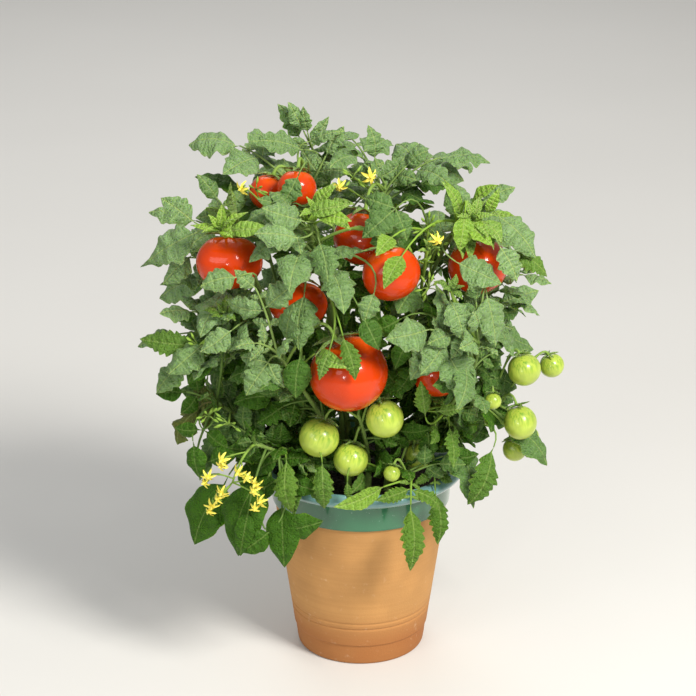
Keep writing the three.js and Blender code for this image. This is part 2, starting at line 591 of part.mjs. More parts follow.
function leaf(base, tip, pairs, arch, look, withStalk) {
  const path = leafPath(base, tip, arch);
  const facing = leafFacing(tip);
  const outlines = outlinesFor(look);
  const { endLength, endShare, pairShares } = leafLayout(base, tip, pairs);
  const blade = new Blade();

  const station = ({ place, along, normal, right }, slide) => ({
    left: blade.edge(
      place.clone().addScaledVector(right, -RACHIS_HALF_WIDTH).addScaledVector(along, slide),
    ),
    right: blade.edge(
      place.clone().addScaledVector(right, RACHIS_HALF_WIDTH).addScaledVector(along, slide),
    ),
  });

  const firstShare = pairs > 0 ? pairShares[pairs - 1] : endShare;
  const startShare = withStalk ? 0 : firstShare * 0.8;
  const start = leafFrame(path, facing, startShare);
  const foot = blade.edge(start.place.addScaledVector(start.along, withStalk ? -2.4 : 0));
  const waist = leafFrame(path, facing, (startShare + firstShare) * 0.5);
  let from = station(waist, 0);
  from.rib = blade.rib(waist.place, waist.normal, RACHIS_HALF);
  blade.face(foot, from.right, from.rib);
  blade.face(foot, from.rib, from.left);

  for (let k = pairs - 1; k >= 0; k -= 1) {
    const frame = leafFrame(path, facing, pairShares[k]);
    const rib = blade.rib(frame.place, frame.normal, RACHIS_HALF);
    const lower = station(frame, -NOTCH_HALF);
    const upper = station(frame, NOTCH_HALF);
    addRachis(blade, from, { ...lower, rib });
    const turn = radians(SIDE_BEARINGS[k]);
    for (const hand of [1, -1]) {
      const along = frame.along.clone().multiplyScalar(Math.cos(turn));
      along.addScaledVector(frame.right, hand * Math.sin(turn));
      const droop = along.clone().addScaledVector(frame.normal, -SIDE_DROOP).normalize();
      const normal = frame.normal.clone().addScaledVector(along, SIDE_DROOP).normalize();
      const first = hand > 0 ? lower.right : upper.left;
      const last = hand > 0 ? upper.right : lower.left;
      const length = endLength * SIDE_LENGTHS[k];
      addLeaflet(blade, rib, first, last, frame.place, droop, normal, length, outlines.side);
    }
    from = { ...upper, rib };
  }

  const frame = leafFrame(path, facing, endShare);
  const rib = blade.rib(frame.place, frame.normal, RACHIS_HALF);
  const end = station(frame, 0);
  addRachis(blade, from, { ...end, rib });
  const along = tip.clone().sub(frame.place);
  const length = along.length();
  along.normalize();
  const normal = facing.clone().addScaledVector(along, -facing.dot(along)).normalize();
  addLeaflet(blade, rib, end.right, end.left, frame.place, along, normal, length, outlines.end);
  return blade.solid();
}

// Neighbours

const placed = [];

function grownBox(solid) {
  const { min, max } = solid.boundingBox();
  const box = new THREE.Box3(new THREE.Vector3(...min), new THREE.Vector3(...max));
  return box.expandByScalar(GAP);
}

function remember(node, whole, bladeOnly) {
  placed.push({ node, whole, bladeOnly, box: grownBox(whole) });
}

function isClear(node, whole, bladeOnly) {
  const box = grownBox(whole);
  return placed.every((other) => {
    if (!box.intersectsBox(other.box)) {
      return true;
    }
    const mine = other.node === node ? bladeOnly : whole;
    const theirs = other.node === node ? other.bladeOnly : other.whole;
    return mine.minGap(theirs, 2 * GAP) >= GAP;
  });
}

function bendsToTry() {
  const bends = [];
  for (const scale of BEND_SCALES) {
    for (const angle of BEND_ANGLES) {
      const turns = angle === 0 ? 1 : 8;
      for (let k = 0; k < turns; k += 1) {
        const turn = (k * Math.PI) / 4;
        bends.push({ yaw: angle * Math.cos(turn), pitch: angle * Math.sin(turn), scale });
      }
    }
  }
  return bends;
}

function bentTip(base, tip, { yaw, pitch, scale }) {
  const reach = tip.clone().sub(base).applyAxisAngle(UP, radians(yaw));
  const level = new THREE.Vector3(reach.y, -reach.x, 0).normalize();
  return reach.applyAxisAngle(level, radians(pitch)).multiplyScalar(scale).add(base);
}

function growLeaf(node, base, wantedTip, pairs, arch, look) {
  for (const bend of bendsToTry()) {
    const tip = bentTip(base, wantedTip, bend);
    const whole = leaf(base, tip, pairs, arch, look, true);
    const bladeOnly = leaf(base, tip, pairs, arch, look, false);
    if (isClear(node, whole, bladeOnly)) {
      remember(node, whole, bladeOnly);
      return whole;
    }
  }
  throw new Error(`no clear place for a leaf on ${node}`);
}

// Leaves placed by rule: tips spread over the crown by the golden ratio, each on the stem point
// nearest to where a leaf that arches outwards and down would start

function ruledTip(index, [count, start, sweepAngle, lowest, highest, scale]) {
  const rise = lowest + ((highest - lowest) * (index + 0.5)) / count;
  const bearing = radians(start + sweepAngle * ((index * GOLDEN) % 1));
  const level = Math.sqrt(1 - rise ** 4);
  return new THREE.Vector3(
    CROWN_MIDDLE.x + scale * CROWN_REACH.x * level * Math.cos(bearing),
    CROWN_MIDDLE.y + scale * CROWN_REACH.y * level * Math.sin(bearing),
    CROWN_MIDDLE.z + scale * CROWN_REACH.z * rise,
  );
}

function nearestStemPoint(tip, paths, length) {
  const heart = new THREE.Vector3(CROWN_MIDDLE.x, CROWN_MIDDLE.y, tip.z + BASE_RISE);
  const ideal = tip.clone().add(heart.sub(tip).setLength(length));
  let best = { miss: Infinity };
  for (const [node, path] of paths) {
    for (let k = 2; k <= 19; k += 1) {
      const base = path.getPoint(k / 20);
      const miss = base.distanceTo(ideal);
      if (miss < best.miss) {
        best = { node, base, miss };
      }
    }
  }
  return best;
}

// Building it all

const group = new THREE.Group();

function show(name, solid, colour, roughness) {
  const material = new THREE.MeshStandardMaterial({ color: colour, roughness, metalness: 0 });
  const mesh = new THREE.Mesh(geometryFromSolid(solid), material);
  mesh.name = name;
  group.add(mesh);
}

const potSolid = pot();
const soilSolid = soil();
remember('pot', potSolid, potSolid);
remember('soil', soilSolid, soilSolid);
show('pot', potSolid, 0xd9a878, 0.75);
show('soil', soilSolid, 0x2a1d14, 0.95);

const stemPaths = new Map(STEMS.map((row) => [row[0], stemPath(row)]));
const greenery = new Map();

function addGreenery(node, solid) {
  if (!greenery.has(node)) {
    greenery.set(node, []);
  }
  greenery.get(node).push(solid);
}

for (const [node, path] of stemPaths) {
  const tube = stemTube(path);
  addGreenery(node, tube);
  remember(node, tube, tube);
}

function hangTomato([name, node, share, middle, radius, tall, ribs], colour, thick, lead, sides) {
  const around = radius < 20 ? 8 : radius > 30 ? 15 : 10;
  const down = radius < 20 ? 6 : 7;
  const centre = new THREE.Vector3(...middle);
  const start = stemPaths.get(node).getPoint(share);
  const axis = fruitAxis(centre, start);
  const flesh = fruit(centre, axis, radius, tall, ribs, around, down);
  const middleOfCalyx = calyxMiddle(centre, axis, radius, tall);
  const star5 = calyx(middleOfCalyx, axis, radius);
  const hanger = stalk(start, middleOfCalyx, axis, thick, radius * 0.7 + lead, sides);
  remember(name, flesh, flesh);
  remember(node, star5, star5);
  remember(node, hanger, hanger);
  addGreenery(node, star5);
  addGreenery(node, hanger);
  show(name, flesh, colour, 0.25);
}

for (const row of RED_TOMATOES) {
  hangTomato(row, 0xe03a12, 1.8, STALK_LEAD.red, 4);
}
for (const row of GREEN_TOMATOES) {
  hangTomato(row, 0xa9c46c, 1.3, STALK_LEAD.green, 3);
}

for (const [name, node, share, middle, radius] of BLOOMS) {
  const centre = new THREE.Vector3(...middle);
  const axis = bloomAxis(centre);
  const petals = bloom(centre, axis, radius);
  const back = centre.clone().addScaledVector(axis, -2.2);
  const hanger = stalk(stemPaths.get(node).getPoint(share), back, axis.clone().negate(), 1, 9, 3);
  remember(name, petals, petals);
  remember(node, hanger, hanger);
  addGreenery(node, hanger);
  show(name, petals, 0xf0d82a, 0.6);
}

for (const [node, share, tip, pairs, arch, look] of LEAVES) {
  const base = stemPaths.get(node).getPoint(share);
  addGreenery(node, growLeaf(node, base, new THREE.Vector3(...tip), pairs, arch, look));
}
for (const rule of RULED_LEAVES) {
  const [count, , , , , , length, arch, look] = rule;
  for (let i = 0; i < count; i += 1) {
    const tip = ruledTip(i, rule);
    const { node, base } = nearestStemPoint(tip, stemPaths, length);
    addGreenery(node, growLeaf(node, base, tip, 1, arch, look));
  }
}

for (const [node, solids] of greenery) {
  show(node, wasm.Manifold.union(solids), 0x4f7f3f, 0.7);
}

export default group;
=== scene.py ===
"""Dresses a potted bush tomato: leafy stems, fruit, blooms, soil and a clay pot with a glazed rim."""
import math
import random
from typing import NamedTuple

import bpy
import numpy as np
from bpy.props import FloatProperty, FloatVectorProperty, IntProperty, PointerProperty
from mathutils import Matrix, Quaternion, Vector, kdtree, noise


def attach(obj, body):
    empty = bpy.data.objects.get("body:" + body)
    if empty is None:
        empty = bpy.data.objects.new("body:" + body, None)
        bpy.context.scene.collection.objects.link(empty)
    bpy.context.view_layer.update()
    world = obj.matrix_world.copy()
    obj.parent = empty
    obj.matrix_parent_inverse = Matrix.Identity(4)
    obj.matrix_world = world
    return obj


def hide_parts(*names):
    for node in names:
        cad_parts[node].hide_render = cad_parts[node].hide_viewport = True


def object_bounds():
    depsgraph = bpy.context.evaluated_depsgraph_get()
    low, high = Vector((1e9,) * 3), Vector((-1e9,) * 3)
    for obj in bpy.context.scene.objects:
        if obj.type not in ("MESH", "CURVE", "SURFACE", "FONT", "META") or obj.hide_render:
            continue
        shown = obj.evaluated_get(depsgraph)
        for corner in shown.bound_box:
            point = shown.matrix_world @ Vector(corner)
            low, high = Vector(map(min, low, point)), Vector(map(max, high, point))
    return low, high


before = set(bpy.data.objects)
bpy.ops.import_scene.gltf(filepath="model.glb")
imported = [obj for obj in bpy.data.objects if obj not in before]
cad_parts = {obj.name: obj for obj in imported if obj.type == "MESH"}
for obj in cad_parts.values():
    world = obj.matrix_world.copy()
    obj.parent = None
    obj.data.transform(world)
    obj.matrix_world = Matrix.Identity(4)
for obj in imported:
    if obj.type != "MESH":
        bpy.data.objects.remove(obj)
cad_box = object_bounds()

bl_info = {
    "name": "Potted bush tomato",
    "version": (1, 0, 0),
    "blender": (4, 5, 0),
    "location": "3D View > Sidebar > Tomato",
    "description": "Dresses a potted bush tomato with leaves, fruit, blooms, soil and a glazed clay pot",
    "category": "Object",
}

# Shapes are worked out in millimetres and scaled to metres when a mesh is made
MM = 0.001
UP = Vector((0, 0, 1))
FRONT = Vector((0, -1, 0))
FULL_TURN = 2 * math.pi
GOLDEN = 0.6180339887
SEED = 7

# A point this near to the side of the solid model's box is pressed softly inwards
EDGE_ROOM = 3

# The camera, as the photograph was taken
CAMERA_PLACE = (-0.0124, -2.357, 1.251)
CAMERA_TILT = 68.1
CAMERA_LENS = 139.66
SENSOR_WIDTH = 36
CAMERA = Vector(CAMERA_PLACE) / MM

# The lights: name, place, size, the setting that holds the power, and colour
LIGHTS = [
    ("key_light", (1.3, -1.5, 2.1), 0.8, "key_power", (1.0, 0.97, 0.92)),
    ("fill_light", (-1.9, -2.2, 1.8), 1.2, "fill_power", (0.94, 0.97, 1.0)),
    ("front_light", (-0.8, -2.2, 0.75), 0.28, "front_power", (1.0, 1.0, 1.0)),
    ("back_light", (-0.4, 1.9, 2.0), 1.5, "fill_power", (1.0, 1.0, 1.0)),
]
LIGHT_AIM = Vector((0, 0, 0.3))

# A stem's foot is at this height, and its root ends lower, inside the soil
STEM_FOOT_HEIGHT = 178
ROOT_HEIGHT = 150
STEM_FOOT_RADIUS = 3.4
STEM_TIP_RADIUS = 1.4
STEM_END_RADIUS = 0.4
STEM_STEPS = 22
STEM_SIDES = 9
KNOT_CHANCE = 0.25
KNOT_SWELLING = 0.16

# The stems, as in the solid model: name, root's ring radius and bearing, bend point and end
STEMS = [
    ("stem_crown_left", 20, 150, (-25, 15, 360), (-50, 15, 448)),
    ("stem_crown_centre", 20, 30, (12, 20, 370), (22, 22, 458)),
    ("stem_back_high", 20, 95, (-18, 38, 360), (-34, 62, 452)),
    ("stem_centre_front", 20, -120, (-30, -40, 350), (-48, -64, 452)),
    ("stem_upper_right", 20, -30, (45, -15, 350), (88, -28, 438)),
    ("stem_upper_left", 46, 165, (-85, 0, 320), (-112, -12, 422)),
    ("stem_right_high", 46, 15, (85, 0, 290), (130, -8, 385)),
    ("stem_mid_right", 46, -35, (110, -42, 270), (105, -100, 350)),
    ("stem_right_low", 46, -10, (90, -20, 235), (134, -26, 262)),
    ("stem_mid_left", 46, 190, (-85, -30, 270), (-125, -48, 350)),
    ("stem_mid_front", 46, -105, (-42, -66, 270), (-76, -110, 343)),
    ("stem_left_low", 46, 212, (-90, -42, 230), (-134, -55, 272)),
    ("stem_front_left_low", 46, -130, (-62, -72, 225), (-98, -98, 248)),
    ("stem_front_low", 46, -82, (10, -60, 220), (-3, -80, 270)),
    ("stem_front_right_low", 46, -58, (32, -62, 216), (46, -86, 208)),
    ("stem_back_left", 46, 138, (-66, 48, 280), (-92, 66, 392)),
    ("stem_back_middle", 46, 88, (10, 66, 280), (22, 84, 390)),
    ("stem_back_right", 46, 46, (66, 44, 280), (92, 58, 388)),
]

# The fruit: name, stem, where its stalk starts, middle, radius, height against width, rib depth
RED_TOMATOES = [
    ("tomato_red_crown_right", "stem_crown_left", 0.98, (-59, -30, 472), 18.5, 0.9, 0.02),
    ("tomato_red_crown_left", "stem_crown_left", 0.94, (-86, -4, 459), 18, 0.9, 0.03),
    ("tomato_red_upper_left", "stem_upper_left", 0.98, (-120, -75, 417), 31, 0.8, 0.07),
    ("tomato_red_upper_middle", "stem_crown_centre", 0.98, (1, -42, 428), 28, 0.88, 0.03),
    ("tomato_red_upper_front", "stem_centre_front", 0.92, (26, -94, 413), 27, 0.9, 0.03),
    ("tomato_red_upper_right", "stem_upper_right", 0.98, (106, -44, 402), 29, 0.88, 0.03),
    ("tomato_red_middle", "stem_centre_front", 0.88, (-58, -80, 379), 27.5, 0.8, 0.05),
    ("tomato_red_front", "stem_mid_front", 0.93, (-12, -105, 321), 37, 0.92, 0.02),
    ("tomato_red_right", "stem_mid_right", 0.87, (69, -62, 304), 24, 0.9, 0.03),
]
GREEN_TOMATOES = [
    ("tomato_green_front_left", "stem_front_low", 0.96, (-39, -92, 252), 19, 0.95, 0.02),
    ("tomato_green_front_middle", "stem_front_low", 0.88, (-10, -85, 227), 16.6, 0.95, 0.02),
    ("tomato_green_front_upper", "stem_front_low", 0.92, (21, -95, 272), 18, 0.97, 0.02),
    ("tomato_green_front_right", "stem_front_right_low", 0.7, (54, -50, 216), 14.5, 0.95, 0.02),
    ("tomato_green_front_small", "stem_front_right_low", 0.9, (28, -92, 216), 8, 0.95, 0),
    ("tomato_green_side_upper", "stem_right_low", 0.9, (151, -40, 298), 16, 0.95, 0.02),
    ("tomato_green_side_outer", "stem_right_low", 0.98, (179, -10, 290), 12, 0.95, 0.02),
    ("tomato_green_side_lower", "stem_right_low", 0.96, (148, -48, 248), 16, 1.0, 0.02),
    ("tomato_green_side_back", "stem_right_low", 0.94, (161, 0, 213), 9, 0.95, 0),
    ("tomato_green_side_bottom", "stem_right_low", 0.88, (145, -28, 212), 12, 0.95, 0.02),
    ("tomato_green_side_small", "stem_right_low", 0.9, (121, -70, 279), 8, 0.95, 0),
]
STALK_LEAD = {"red": 16, "green": 8}
STALK_RADIUS = {"red": 1.8, "green": 1.3}
STALK_STEPS = 12
CALYX_GAP = 0.9
SEPALS = 5
PETALS = 6

# Other stalks: their radii, and how much a hung leaflet's stalk or the truss thins at each step
HUNG_STALK_RADIUS = 1.3
SHOOT_STALK_RADIUS = 1.4
BUD_STALK_RADIUS = 0.9
BLOOM_STALK_RADIUS = 0.9
TRUSS_RADIUS = 1.5
STALK_THINNING = 0.08

# A fruit's skin, in its radii: how full it is, its ribs, the dimple at its stalk and the scar below.
# Its mesh has this many points round and down, by its size.
FRUIT_FILL = 0.97
RIBS = 5
DIMPLE_DEPTH = 0.11
DIMPLE_WIDTH = 0.32
SCAR_DEPTH = 0.02
SCAR_WIDTH = 0.1
SMALL_FRUIT = 10
SMALL_FRUIT_GRID = (40, 24)
LARGE_FRUIT_GRID = (64, 40)

# A bud and a bloom's cone of stamens: how far along the axis, and the radius there
BUD_PROFILE = [(-0.5, 0.5), (1.2, 1.1), (3.2, 1.3), (5.2, 0.8), (7, 0.1)]
CONE_PROFILE = [(-2.4, 1.1), (0, 1.3), (1.2, 1.5), (3, 1.1), (4.6, 0.3)]

# The blooms: name, stem, where its stalk starts, middle and radius
BLOOMS = [
    ("bloom_top_right", "stem_crown_centre", 0.97, (8, -46, 488), 9),
    ("bloom_top_left", "stem_crown_centre", 0.9, (-20, -44, 478), 8),
    ("bloom_upper_left", "stem_crown_left", 0.7, (-108, -50, 478), 8),
    ("bloom_right", "stem_upper_right", 0.7, (67, -92, 444), 8),
    ("bloom_spray_1", "stem_front_left_low", 1.0, (-127, -118, 241), 8),
    ("bloom_spray_2", "stem_front_left_low", 0.97, (-112, -128, 233), 8),
    ("bloom_spray_3", "stem_front_left_low", 0.95, (-140, -112, 222), 7.5),
    ("bloom_spray_4", "stem_front_left_low", 0.93, (-127, -130, 214), 8),
    ("bloom_spray_5", "stem_front_left_low", 0.9, (-137, -118, 195), 7.5),
    ("bloom_spray_6", "stem_front_left_low", 0.88, (-97, -122, 219), 8),
    ("bloom_spray_7", "stem_front_left_low", 0.85, (-92, -122, 201), 7.5),
]

# The truss that the spray of blooms hangs from: its stem, where it bends and where it ends
SPRAY_STEM = "stem_front_left_low"
SPRAY_BEND = Vector((-110, -112, 244))
SPRAY_END = Vector((-118, -112, 216))

# A bloom of the spray leaves the truss at its start where it is this high, and at its end where it is
# lower by the drop
SPRAY_TOP = 250
SPRAY_DROP = 30

# Clusters of closed buds: stem, where their stalk starts, middle, how many and how far they spread
BUDS = [
    ("stem_upper_right", 0.72, (60, -60, 444), 9, 11),
    ("stem_upper_right", 0.66, (50, -72, 416), 9, 12),
    ("stem_upper_right", 0.78, (68, -66, 428), 7, 10),
    ("stem_upper_right", 0.6, (60, -86, 396), 8, 10),
    ("stem_crown_centre", 0.92, (-8, -36, 484), 7, 9),
    ("stem_left_low", 0.95, (-140, -98, 276), 8, 11),
    ("stem_left_low", 0.9, (-121, -103, 270), 6, 9),
    ("stem_mid_left", 0.96, (-148, -92, 342), 6, 9),
    ("stem_crown_left", 0.86, (-96, -30, 470), 5, 8),
]

# The leaves: stem, where it starts, tip, pairs of side leaflets, arch, and its look in LOOKS
LEAVES = [
    ("stem_crown_left", 0.85, (-134, 0, 494), 1, 0.2, "dark"),
    ("stem_crown_left", 1.0, (-16, 30, 512), 1, 0.15, "mature"),
    ("stem_crown_left", 0.75, (-122, 20, 470), 1, 0.2, "mature"),
    ("stem_crown_centre", 0.97, (62, 30, 488), 1, 0.2, "mature"),
    ("stem_crown_centre", 0.92, (6, 34, 512), 1, 0.15, "mature"),
    ("stem_crown_centre", 0.85, (58, -40, 458), 1, 0.25, "dark"),
    ("stem_upper_left", 0.99, (-158, 5, 468), 1, 0.15, "mature"),
    ("stem_upper_left", 0.95, (-184, -22, 462), 1, 0.2, "mature"),
    ("stem_upper_left", 0.85, (-196, -50, 410), 2, 0.25, "mature"),
    ("stem_upper_left", 0.7, (-184, -52, 386), 1, 0.25, "mature"),
    ("stem_upper_left", 1.0, (-118, -42, 482), 0, 0.1, "young"),
    ("stem_upper_left", 0.97, (-146, -62, 458), 0, 0.2, "young"),
    ("stem_centre_front", 1.0, (-30, -130, 418), 0, 0.35, "mature_short"),
    ("stem_centre_front", 0.97, (-100, -112, 430), 1, 0.3, "mature"),
    ("stem_centre_front", 0.93, (-64, -132, 409), 0, 0.35, "mature"),
    ("stem_centre_front", 1.0, (-6, -84, 475), 0, 0.2, "young"),
    ("stem_centre_front", 0.98, (-10, -104, 458), 0, 0.3, "young"),
    ("stem_centre_front", 1.0, (-24, -62, 488), 0, 0.05, "young"),
    ("stem_centre_front", 0.95, (-98, -66, 470), 0, 0.2, "mature"),
    ("stem_upper_right", 0.8, (145, -20, 462), 2, 0.35, "mature"),
    ("stem_upper_right", 1.0, (74, -42, 484), 0, 0.05, "young"),
    ("stem_upper_right", 1.0, (124, -40, 478), 0, 0.05, "young"),
    ("stem_upper_right", 0.98, (142, -48, 440), 1, 0.3, "young"),
    ("stem_upper_right", 0.95, (90, -86, 424), 0, 0.3, "young"),
    ("stem_right_high", 1.0, (160, -36, 407), 1, 0.25, "mature"),
    ("stem_right_high", 0.95, (176, -28, 386), 1, 0.3, "mature"),
    ("stem_right_high", 0.9, (150, -58, 389), 0, 0.3, "mature"),
    ("stem_right_high", 0.85, (163, -52, 356), 1, 0.25, "mature"),
    ("stem_right_high", 0.7, (168, 30, 350), 1, 0.3, "mature"),
    ("stem_mid_right", 1.0, (98, -124, 388), 0, 0.2, "mature"),
    ("stem_mid_right", 0.98, (86, -142, 360), 0, 0.3, "mature"),
    ("stem_mid_right", 0.95, (122, -114, 342), 1, 0.35, "mature"),
    ("stem_mid_right", 0.88, (84, -154, 306), 1, 0.5, "mature"),
    ("stem_mid_right", 0.92, (20, -150, 372), 1, 0.3, "mature"),
    ("stem_mid_right", 0.75, (54, -126, 320), 1, 0.2, "dark"),
    ("stem_mid_right", 0.7, (95, -120, 286), 1, 0.3, "mature"),
    ("stem_mid_right", 0.55, (84, -108, 228), 1, 0.4, "slender"),
    ("stem_right_low", 0.6, (94, -90, 178), 1, 0.6, "mature"),
    ("stem_right_low", 0.8, (128, -92, 258), 1, 0.3, "dark"),
    ("stem_mid_left", 1.0, (-172, -40, 347), 1, 0.2, "dark"),
    ("stem_mid_left", 0.98, (-128, -110, 374), 1, 0.3, "mature"),
    ("stem_mid_left", 0.92, (-206, -60, 334), 2, 0.2, "mature"),
    ("stem_mid_left", 0.85, (-176, -86, 316), 1, 0.3, "mature"),
    ("stem_mid_left", 1.0, (-154, -94, 398), 1, 0.15, "mature"),
    ("stem_mid_front", 1.0, (-112, -134, 358), 1, 0.3, "mature"),
    ("stem_mid_front", 0.97, (-66, -150, 360), 0, 0.4, "mature"),
    ("stem_mid_front", 0.95, (-60, -130, 398), 0, 0.1, "mature"),
    ("stem_mid_front", 0.85, (-8, -152, 333), 0, 0.5, "young"),
    ("stem_mid_front", 0.75, (-84, -136, 324), 1, 0.3, "dark"),
    ("stem_mid_front", 0.6, (-98, -126, 288), 1, 0.3, "dark"),
    ("stem_left_low", 1.0, (-190, -60, 282), 1, 0.2, "dark"),
    ("stem_left_low", 0.97, (-178, -62, 236), 1, 0.6, "ageing"),
    ("stem_left_low", 0.9, (-170, -30, 248), 0, 0.3, "ageing"),
    ("stem_left_low", 0.85, (-150, -78, 202), 1, 0.5, "mature"),
    ("stem_left_low", 1.0, (-146, -94, 290), 1, 0.3, "dark"),
    ("stem_left_low", 0.6, (-168, 24, 236), 1, 0.3, "mature"),
    ("stem_front_left_low", 1.0, (-98, -134, 270), 1, 0.4, "dark"),
    ("stem_front_left_low", 0.8, (-114, -106, 138), 0, 0.6, "dark"),
    ("stem_front_left_low", 0.6, (-62, -112, 182), 0, 0.5, "slender"),
    ("stem_mid_front", 0.55, (-52, -108, 284), 1, 0.3, "dark"),
    ("stem_front_left_low", 0.5, (-34, -113, 190), 0, 0.7, "slender"),
    ("stem_front_right_low", 1.0, (42, -116, 128), 1, 0.5, "slender"),
    ("stem_back_high", 1.0, (-68, 50, 530), 2, 0.05, "mature_slim"),
    ("stem_back_high", 1.0, (-113, 40, 478), 1, 0.1, "mature"),
    ("stem_upper_right", 1.0, (118, -82, 431), 0, 0.5, "young"),
    ("stem_upper_right", 1.0, (97, -86, 421), 0, 0.5, "young"),
    ("stem_mid_right", 1.0, (100, -92, 416), 1, 0.1, "mature"),
    ("stem_upper_right", 0.9, (12, -134, 444), 0, 0.35, "young_short"),
    ("stem_upper_right", 1.0, (19, -134, 413), 0, 0.35, "young_short"),
    ("stem_upper_right", 0.92, (7, -78, 436), 0, 0.3, "mature"),
    ("stem_centre_front", 0.9, (-56, -124, 351), 0, 0.5, "mature_short"),
    ("stem_mid_left", 0.9, (-103, -120, 354), 0, 0.3, "mature"),
    ("stem_upper_left", 0.8, (-145, -104, 355), 0, 0.5, "mature"),
    ("stem_mid_front", 1.0, (-113, -114, 424), 1, 0.5, "mature"),
    ("stem_crown_left", 0.8, (-67, -54, 464), 0, 0.1, "mature"),
    ("stem_centre_front", 1.0, (-103, -96, 461), 1, 0.4, "mature"),
    ("stem_centre_front", 0.9, (-16, -136, 390), 1, 0.35, "mature"),
    ("stem_crown_centre", 1.0, (-29, -30, 491), 1, 0.5, "mature"),
    ("stem_upper_right", 0.8, (32, -100, 377), 0, 0.1, "mature"),
    ("stem_mid_right", 1.0, (58, -130, 359), 1, 0.3, "mature"),
    ("stem_right_high", 0.9, (89, -90, 353), 0, 0.05, "mature"),
    ("stem_right_high", 0.8, (128, -80, 324), 0, 0.5, "mature"),
    ("stem_mid_right", 0.5, (63, -100, 249), 1, 0.2, "slender"),
    ("stem_right_low", 0.9, (175, -40, 200), 0, 0.1, "mature"),
    ("stem_mid_right", 0.4, (71, -90, 142), 1, 0.6, "slender_short"),
    ("stem_front_right_low", 1.0, (-26, -120, 195), 0, 0.05, "young"),
    ("stem_front_low", 0.3, (-11, -96, 197), 0, 0.5, "slender"),
    ("stem_left_low", 0.6, (-156, -80, 137), 1, 0.4, "dark"),
    ("stem_front_left_low", 0.8, (-71, -120, 133), 2, 0.4, "dark"),
]

